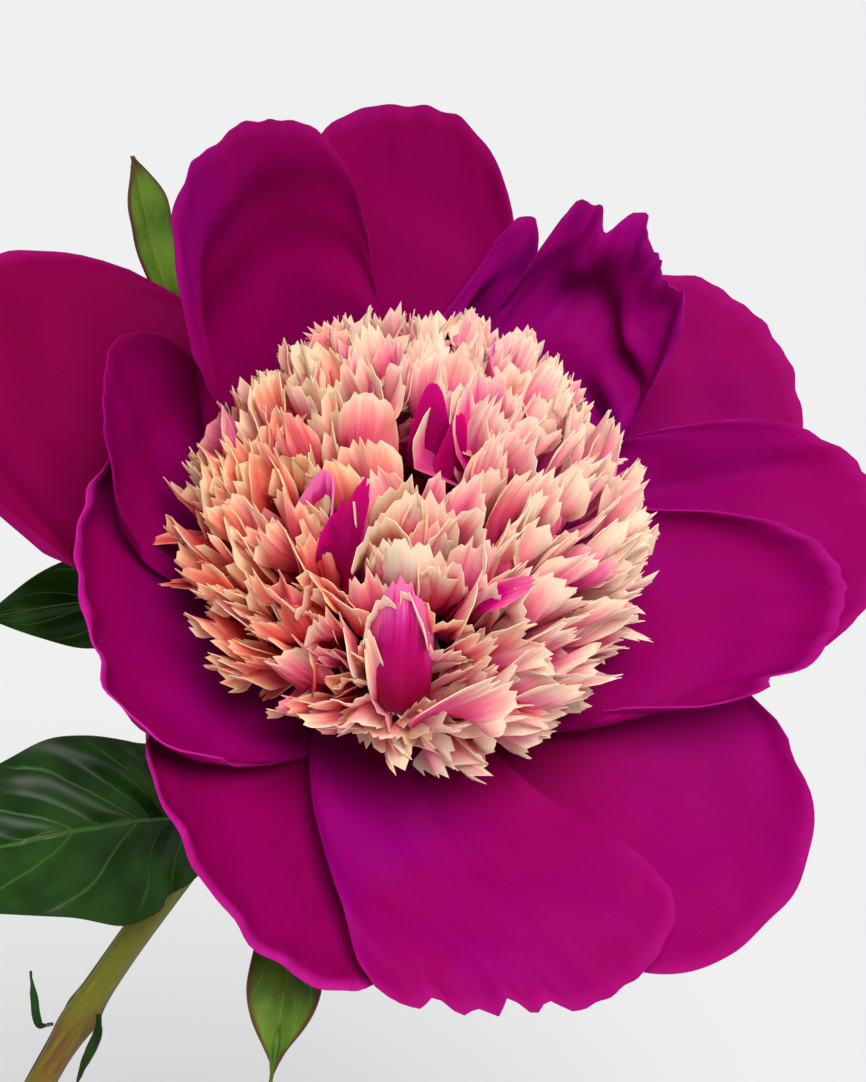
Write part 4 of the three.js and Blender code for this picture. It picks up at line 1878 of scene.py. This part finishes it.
    def whorl(self, tip: Array) -> int:
        """The whorl that a petaloid belongs to.

        Args:
            tip: Its tip.

        Returns:
            The whorl's place in the row, from 0 for the innermost.
        """
        away = tip - self.middle
        azimuth = math.degrees(math.atan2(away[1], away[0]))
        polar = math.degrees(math.acos(away[2] / float(np.linalg.norm(away))))
        toward = 0.5 + 0.5 * math.cos(math.radians(azimuth - self.lift_azimuth))
        angle = polar + self.lift * toward * (polar / self.full_lift) ** 2
        return next(k for k, bound in enumerate(self.bounds) if angle < bound)

    def grow(self) -> list[tuple[Petaloid, float, float]]:
        """Grows every petaloid.

        Returns:
            Each petaloid with its tone and its flush.
        """
        dice = random.Random(self.seed)
        grown = []
        lowest = 1 - math.cos(math.radians(self.last_angle))
        down, aside = self.scatter
        for i in range(self.count):
            share = (i + 0.5) / self.count
            angle = math.degrees(math.acos(1 - share * lowest)) + dice.uniform(-down, down)
            azimuth = i * GOLDEN_ANGLE + dice.uniform(-aside, aside)
            petaloid = self.petaloid(max(angle, 3), azimuth, dice)
            if float(np.linalg.norm(petaloid.tip - self.middle)) > 1:
                grown.append((petaloid, *self.colouring(petaloid.tip, dice)))
        for item in self.specials:
            grown.append((self.special(item, dice), item.tone, item.flush))
        for spike in self.spikes:
            tip = np.array(spike)
            strayed = np.array([dice.gauss(0, self.strap_scatter) for _ in range(3)])
            jags, places = self.tipped(True, dice)
            strap = Petaloid(
                self.seat(tip),
                tip,
                heading=unit(unit(tip - self.middle) + strayed),
                outer=unit(tip - self.middle + np.array([0, 0, 20])),
                half=dice.uniform(*self.strap_half),
                bend=dice.gauss(0, self.strap_bend),
                jags=jags,
                columns=places,
                round=0.12,
            )
            grown.append((strap, *self.colouring(tip, dice)))
        return grown

    def build(self, finish: Material) -> None:
        """Makes the six whorls of petaloids.

        Args:
            finish: Their material.
        """
        whorls: list[bmesh.types.BMesh] = []
        for _ in self.bounds:
            bm = bmesh.new()
            bm.loops.layers.uv.new("UVMap")
            bm.verts.layers.float.new("tone")
            bm.verts.layers.float.new("flush")
            whorls.append(bm)
        for petaloid, tone, flush in self.grow():
            bm = whorls[self.whorl(petaloid.tip)]
            grid = bmesh.ops.create_grid(
                bm, x_segments=self.columns, y_segments=self.rows, size=1, calc_uvs=True
            )["verts"]
            spread(grid, BLOOM.carry(petaloid.surface))
            for vert in grid:
                vert[bm.verts.layers.float["tone"]] = tone
                vert[bm.verts.layers.float["flush"]] = flush
        for i, bm in enumerate(whorls, 1):
            made = settle(link(f"petaloid_whorl_{i}", bm), self.wall)
            install(made, finish, Slot.PETALOID, f"heart_cup_{i}")


@dataclass(frozen=True)
class HeartPetals:
    """The magenta petals that stand among the petaloids."""

    petals: tuple[Special, ...] = (
        Special(
            "heart_petal_front", tip=(-5.3, -22.3, 62.3), heading=(-0.04, 0.7, 0.71), half=5.4, cup=-0.9,
            bend=-1.5, jagged=0.7, full=0.72, sag=(0, -15, -6),
        ),
        Special(
            "heart_petal_left", tip=(-17.9, -4.6, 63.3), heading=(0.03, 0.65, 0.76), half=3.6, cup=1.0,
            bend=1.0, jagged=0.3,
        ),
        Special(
            "heart_petal_back", tip=(11.5, 23.2, 60.3), heading=(0.12, 0.64, 0.76), half=5.6, cup=0.3,
            jagged=0.8,
        ),
    )
    wall: float = 0.35
    flush: float = 0.25
    across: int = 20
    along: int = 24
    seed: int = 3

    def build(self, heart: Heart, finish: Material) -> None:
        """Makes each of them.

        Args:
            heart: The ball that they stand in.
            finish: Their material.
        """
        dice = random.Random(self.seed)
        for item in self.petals:
            shape = heart.special(item, dice)
            surface = BLOOM.carry(shape.surface)
            made = sheet(f"{item.name}_blade", surface, self.across, self.along, self.wall)
            carry_numbers(made, {"tone": item.tone, "flush": self.flush})
            install(made, finish, Slot.HEART_PETAL, item.name)


# ---------------------------------------------------------------- leaves


@dataclass(frozen=True)
class Leaf:
    """A blade on a stalk along a spine; side points to its left half.

    Half is its widest half-width; petiole, widest and taper place its outline along the spine; fold is how
    far the halves rise from the midrib and lobes how far each half reaches back at its base; quilt is the
    height of the bulges between its lateral veins, whose number and slant the finish shares; wave is the
    height of the waves of its margin and scallop the share by which the margin goes in and out. Stalk is
    the half-width of its stalk, rounding how bluntly it opens from there and rib_depth how deep its midrib
    lies. Edges swell or narrow one half of it (half, place along, reach, share).
    """

    name: str
    spine: tuple[Triple, ...]
    half: float
    petiole: float
    widest: float
    taper: float
    fold: float
    side: Triple = (0.0, 0.0, 1.0)
    quilt: float = 0.0
    laterals: float = 6.0
    slant: float = 2.0
    wave: float = 0.4
    stalk: float = 0.9
    rounding: float = 0.8
    rib_depth: float = 0.7
    lobes: Span = (0.0, 0.0)
    scallop: float = 0.015
    edges: tuple[tuple[float, float, float, float], ...] = ()

    def surface(self) -> Surface:
        """Its middle surface.

        Returns:
            A surface in the frame of its spine.
        """
        course = Route(self.spine)
        toward = unit(np.array(self.side))
        peak = (self.widest - self.petiole) / (1 - self.petiole)
        seed = sum(map(ord, self.name))

        def width(s: Array, at: Array, x: Array) -> Array:
            """Its half-width at some places.

            Args:
                s: Places across, from -1 to 1.
                at: Shares of the spine.
                x: Shares of the blade without its stalk.

            Returns:
                Millimetres for each place.
            """
            opening = np.sin(math.pi / 2 * np.minimum(1, x / peak)) ** self.rounding
            fall = np.cos(math.pi / 2 * np.maximum(0, (x - peak) / (1 - peak)))
            blade = mix(self.stalk, self.half, opening) * np.maximum(fall**self.taper, 0.02)
            blade = blade * (1 + self.scallop * waves(at * 60, np.sign(s) * 20, seed + 1, 9, 20))
            for half, place, reach, share in self.edges:
                blade = blade * (1 + share * hump(at, place, reach) * (s * half > 0))
            return blade

        def base(s: Array, t: Array) -> Array:
            """The blade, folded along its midrib and quilted between its veins.

            Args:
                s: Places across, from -1 to 1.
                t: Places along, from 0 to 1.

            Returns:
                A point for each place.
            """
            at = np.clip(t, 0, 1)
            tangent = course.direction(at)
            left = unit(toward - tangent * np.sum(tangent * toward, -1, keepdims=True))
            up = np.cross(tangent, left)
            x = np.clip((at - self.petiole) / (1 - self.petiole), 0, 1)
            blade = width(s, at, x)
            lobe = np.where(s < 0, self.lobes[0], self.lobes[1])
            back = np.clip(at - lobe * s * s * (1 - x) ** 2 * smooth(x / 0.05), 0, 1)
            lengthwise = smooth(x / 0.15)
            rib = -self.rib_depth * hump(s * blade, 0, 1.1) * lengthwise
            phase = t * self.laterals - np.abs(s) * self.slant
            bulge = self.quilt * (np.abs(np.sin(math.pi * phase)) - 0.5) * lengthwise * (1 - np.abs(s) ** 4)
            margin = self.wave * waves(t * 60, s * 4, seed, 9, 22) * np.abs(s) ** 2 * lengthwise
            rise = np.abs(s) ** 1.4 * blade * self.fold + rib + bulge + margin
            return course.at(back) + left * (s * blade)[:, None] + up * rise[:, None]

        return base


@dataclass(frozen=True)
class Foliage:
    """The leaves and shoots of the stem and the bracts under the bloom.

    Starts holds the share of the stem's length at which each leaf leaves, and in which direction. A bract's
    spine is an azimuth, a radius and a height at each point, in the bloom's frame, and its side is worked
    out from the first.
    """

    stem: Stem
    leaf_finish: Material
    bract_finish: Material
    wall: float = 0.5
    leaf_across: int = 36
    bract_across: int = 20
    along: int = 64
    starts: Mapping[str, tuple[float, Triple]] = field(
        default_factory=lambda: {
            "large_leaf": (0.79, (-0.75, -0.55, 0.35)),
            "narrow_leaf": (0.87, (-0.6, 0.6, 0.5)),
            "shoot_left": (0.607, (-0.85, -0.2, 0.45)),
            "shoot_right": (0.625, (0.8, -0.6, 0)),
        }
    )
    leaves: tuple[Leaf, ...] = (
        Leaf(
            "large_leaf",
            spine=((51, -1, 245), (44, -2, 245), (28, -3, 242.5), (8, -5, 238.5), (-13, -4, 232)),
            side=(0.05, 0.3, 0.95), half=19, petiole=0.14, widest=0.46, taper=0.8, fold=0.12, quilt=1.6,
            slant=1.8, wave=1.2, rounding=0.5, lobes=(0.2, 0.05),
            edges=(
                (1, 0.4, 0.1, -0.19),
                (1, 0.6, 0.06, 0.06),
                (-1, 0.55, 0.06, 0.12),
                (-1, 0.35, 0.08, -0.15),
            ),
        ),
        Leaf(
            "narrow_leaf", spine=((66, 8, 278), (52, 6, 287), (36, -3, 291.5), (17, -11, 291.5)),
            side=(-0.1, 0.3, 0.95), half=9, petiole=0.4, widest=0.72, taper=1, fold=0.15, quilt=0.3,
            slant=1.8,
        ),
        Leaf(
            "shoot_left", spine=((22.3, 3, 197), (21.3, 3, 203), (20.9, 2.5, 209.6)), side=(1, 0, 0.2),
            half=0.8, petiole=0.2, widest=0.5, taper=1, fold=0.3, wave=0.1, stalk=0.5, rib_depth=0.1,
        ),
        Leaf(
            "shoot_right", spine=((34.4, -0.8, 197.5), (32, -1.4, 192), (29.8, -2, 186.5)),
            side=(1, 0, -0.2), half=1.0, petiole=0.2, widest=0.5, taper=1, fold=0.3, wave=0.1, stalk=0.5,
            rib_depth=0.1,
        ),
    )
    bracts: tuple[Leaf, ...] = (
        Leaf(
            "bract_upper_left",
            spine=(
                (135, 11.1, -6.3),
                (134, 25, -5.5),
                (131, 50, -1),
                (127, 78, 10.9),
                (125.5, 86, 17.8),
                (124, 94, 24),
            ),
            half=4.3, petiole=0.3, widest=0.8, taper=1.2, fold=0.4, quilt=0.15, laterals=8,
        ),
        Leaf(
            "bract_bottom",
            spine=(
                (250, 11.1, -6.3),
                (251, 30, -8),
                (253, 55, -5.5),
                (255, 76, -5),
                (256, 86, -9),
                (256.5, 94, -15),
            ),
            half=6.6, petiole=0.3, widest=0.6, taper=3.4, fold=0.45, quilt=0.3, laterals=8,
        ),
    )

    def build(self) -> None:
        """Makes every leaf, shoot and bract."""
        course = self.stem.course()
        for leaf in self.leaves:
            share, out = self.starts[leaf.name]
            clear = self.stem.radius(np.array([share]), course.length)[0] + leaf.stalk / 2 + self.stem.gap
            first = course.even(np.array([share]))[0] + unit(np.array(out)) * clear
            grown = replace(leaf, spine=(tuple(first), *leaf.spine))
            made = sheet(f"{leaf.name}_blade", grown.surface(), self.leaf_across, self.along, self.wall)
            install(made, self.leaf_finish, Slot.LEAF, leaf.name)
        for bract in self.bracts:
            turn = math.radians(bract.spine[0][0])
            spine = tuple(
                (r * math.cos(math.radians(a)), r * math.sin(math.radians(a)), z) for a, r, z in bract.spine
            )
            side = (-math.sin(turn), math.cos(turn), 0.0)
            grown = replace(bract, spine=spine, side=side)
            surface = BLOOM.carry(grown.surface())
            made = sheet(f"{bract.name}_blade", surface, self.bract_across, self.along, self.wall)
            install(made, self.bract_finish, Slot.BRACT, bract.name)


# ---------------------------------------------------------------- stage, light and camera


@dataclass(frozen=True)
class Studio:
    """The pale floor, the soft light and the camera at the photograph's angle."""

    elevation: float = 20.0
    distance: float = 620.0
    pixels_per_mm: float = 5.4
    photo_height: float = 1082.0
    sensor: float = 36.0
    bloom_off_centre: Span = (33.0, 59.0)
    clip: Span = (0.01, 50.0)
    floor_radius: float = 9.0
    floor_sides: int = 96
    sky: float = 0.45
    sky_colour: tuple[float, float, float, float] = (0.97, 0.985, 1, 1)
    key: float = 3.7
    key_softness: float = 32.0
    key_from: Triple = (0.22, -0.8, 0.78)

    def camera(self) -> None:
        """Sets up the camera; the bloom's base lies off the picture's centre by a few pixels."""
        tilt = math.radians(self.elevation)
        right = Vector((1, 0, 0))
        up = Vector((0, math.sin(tilt), math.cos(tilt)))
        back = Vector((0, -math.cos(tilt), math.sin(tilt)))
        aside, below = (pixels / self.pixels_per_mm for pixels in self.bloom_off_centre)
        target = Vector(BLOOM.base) + right * aside + up * below
        data = bpy.data.cameras.new("camera")
        data.sensor_fit = "AUTO"
        data.sensor_width = self.sensor
        half_height = self.photo_height / 2 / self.pixels_per_mm
        data.lens = data.sensor_width / 2 / (half_height / self.distance)
        data.clip_start, data.clip_end = self.clip
        made = bpy.data.objects.new("camera", data)
        made.matrix_world = Matrix.Translation((target + back * self.distance) * MM) @ Matrix(
            (right, up, back)
        ).transposed().to_4x4()
        bpy.context.scene.collection.objects.link(made)
        bpy.context.scene.camera = made

    def light(self) -> None:
        """A broad soft key light from above and in front."""
        data = bpy.data.lights.new("key", "SUN")
        data.energy = self.key
        data.angle = math.radians(self.key_softness)
        made = bpy.data.objects.new("key", data)
        made.rotation_euler = Vector(self.key_from).to_track_quat("Z", "Y").to_euler()
        bpy.context.scene.collection.objects.link(made)

    def floor(self, finish: Material) -> None:
        """A wide round floor.

        Args:
            finish: Its material.
        """
        bm = bmesh.new()
        bmesh.ops.create_circle(bm, cap_ends=True, segments=self.floor_sides, radius=self.floor_radius)
        made = link("floor", bm)
        made.data.materials.append(finish)

    def build(self) -> None:
        """Sets the stage."""
        self.camera()
        self.floor(FloorFinish().make())
        self.light()
        world = bpy.data.worlds.new("studio")
        world.use_nodes = True
        background = world.node_tree.nodes["Background"]
        background.inputs["Color"].default_value = self.sky_colour
        background.inputs["Strength"].default_value = self.sky
        bpy.context.scene.world = world
        bpy.context.scene.view_settings.view_transform = "Standard"


# The colours of the magenta petals in the heart, from their base to their tip; the dark base is partly
# painted shade where they sink into the heart.
INNER_MAGENTA = (
    (0.55, (0.14, 0.0, 0.012)),
    (0.76, (0.27, 0.0, 0.035)),
    (0.9, (0.42, 0.0, 0.11)),
    (0.97, (0.54, 0.02, 0.21)),
    (1.0, (0.75, 0.12, 0.34)),
)
# Petaloids that show one by one from the front.
HEART_SPECIALS = (
    Special(
        "tongue", tip=(-0.5, 10.8, 66.2), heading=(-0.03, 0.57, 0.82), half=3.6, flush=2.3, cup=-0.3,
        round=0.16, sag=(0, -5, 3),
    ),
    Special(
        "second_tongue", tip=(4.5, 7.0, 64.0), heading=(0.12, 0.56, 0.83), half=2.6, flush=2.1, cup=-0.3,
        jagged=0.3, round=0.12, sag=(0, -5, 3),
    ),
    Special(
        "deep_petal", tip=(-11.7, -5.7, 64.7), heading=(0.24, 0.71, 0.64), half=3.8, flush=2.2, cup=0.9,
        jagged=0.8, round=0.12, sag=(-2, -8, 3),
    ),
    Special(
        "broad_pink", tip=(-3.0, -9.0, 68.6), heading=(-0.03, 0.62, 0.78), half=7.2, tone=0.75, flush=0.3,
        cup=0.3, jagged=1.1, round=0.08,
    ),
    Special(
        "broad_pale", tip=(-5.0, -17.0, 66.5), heading=(-0.1, 0.6, 0.78), half=6.6, tone=0.8, flush=0.1,
        cup=-0.4, jagged=1.1, round=0.08,
    ),
    Special(
        "right_fan", tip=(16.5, -34.0, 46.5), heading=(0.92, -0.1, 0.3), half=7.6, tone=0.6, flush=0.55,
        cup=0.3, bend=1.0, jagged=1.0, round=0.08, sag=(-2, -16, 2),
    ),
    Special(
        "front_strap", tip=(-11.0, -29.0, 55.5), heading=(-0.35, 0.5, 0.7), half=1.8, tone=0.5, flush=0.5,
        cup=0.6, jagged=0.8, sag=(0, -9, -3),
    ),
    Special(
        "low_fan", tip=(1.5, -37.5, 44.5), heading=(0.2, -0.1, 0.9), half=3.4, tone=0.4, flush=0.6, cup=0.5,
        jagged=0.9, round=0.08, sag=(0, -5, -4),
    ),
    Special(
        "crescent", tip=(18.4, -21.3, 58.4), heading=(0.95, 0.1, 0.2), half=2.4, flush=1.3, cup=0.6,
        jagged=0.5, sag=(0, -6, 5),
    ),
    Special(
        "streaked", tip=(8.6, 13.5, 66.8), heading=(0.02, 0.62, 0.79), half=6.4, flush=0.95, cup=0.2,
        jagged=0.9, round=0.08, sag=(0, -4, 2),
    ),
)
# The open middle, the slit before the left petal, the room for the front petal and a hollow at the left.
HEART_CLEARINGS = (
    ((-0.07, 0.2, 0.97), 10.5, 0.0),
    ((-0.05, 0.08, 0.99), 9.5, 0.0),
    ((-0.08, -0.02, 0.99), 6.5, 0.0),
    ((-0.37, -0.13, 0.92), 5.5, 0.6),
    ((-0.36, -0.24, 0.91), 5.5, 0.6),
    ((-0.33, -0.36, 0.87), 5.5, 0.64),
    ((-0.1, -0.64, 0.76), 7.0, 0.7),
    ((-0.09, -0.74, 0.67), 7.5, 0.7),
    ((-0.08, -0.83, 0.55), 7.5, 0.7),
    ((-0.54, -0.71, 0.46), 6.0, 0.85),
)
# Tips of the thin straps round the rim.
HEART_SPIKES = (
    (-48.2, -1.5, 20.4),
    (-45.2, -6.9, 18.2),
    (-33.6, -21.8, 12.4),
    (11.5, -38.1, 9.3),
    (43.2, -5.2, 27.9),
    (42.5, -11.6, 24.8),
    (44.0, -16.1, 22.9),
    (38.4, 15.1, 36.9),
    (-26.4, -26.3, 11.0),
)
LEAF_FINISH = LeafFinish(
    "dark_leaf",
    dark=(0.003, 0.02, 0.001),
    light=(0.014, 0.06, 0.003),
    vein=(0.06, 0.13, 0.02),
    margin=(0.03, 0.02, 0.01),
    margin_width=0.03,
    laterals=6.0,
    slant=1.8,
)
BRACT_FINISH = LeafFinish(
    "bract",
    dark=(0.03, 0.09, 0.008),
    light=(0.11, 0.19, 0.018),
    vein=(0.2, 0.26, 0.05),
    margin=(0.09, 0.008, 0.015),
    margin_width=0.22,
    laterals=8.0,
    slant=2.0,
    rough=0.42,
)


def main() -> None:
    """Builds every sub-assembly in order."""
    logging.basicConfig(level=logging.INFO, format="%(name)s %(message)s")
    Studio().build()
    petal = PetalFinish().make()
    inner_petal = PetaloidFinish("magenta_heart_petal", INNER_MAGENTA, INNER_MAGENTA)
    bract = BRACT_FINISH.make()
    stem = Stem()
    BudVase().build(GlazeFinish().make())
    stem.build(StemFinish().make())
    Receptacle().build(bract)
    Sepals().build(bract)
    GuardPetals().build(petal)
    heart = Heart(specials=HEART_SPECIALS, spikes=HEART_SPIKES, clearings=HEART_CLEARINGS)
    heart.build(PetaloidFinish().make())
    HeartPetals().build(heart, inner_petal.make())
    Foliage(stem, LEAF_FINISH.make(), bract).build()
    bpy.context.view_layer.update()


if __name__ == "__main__":
    main()
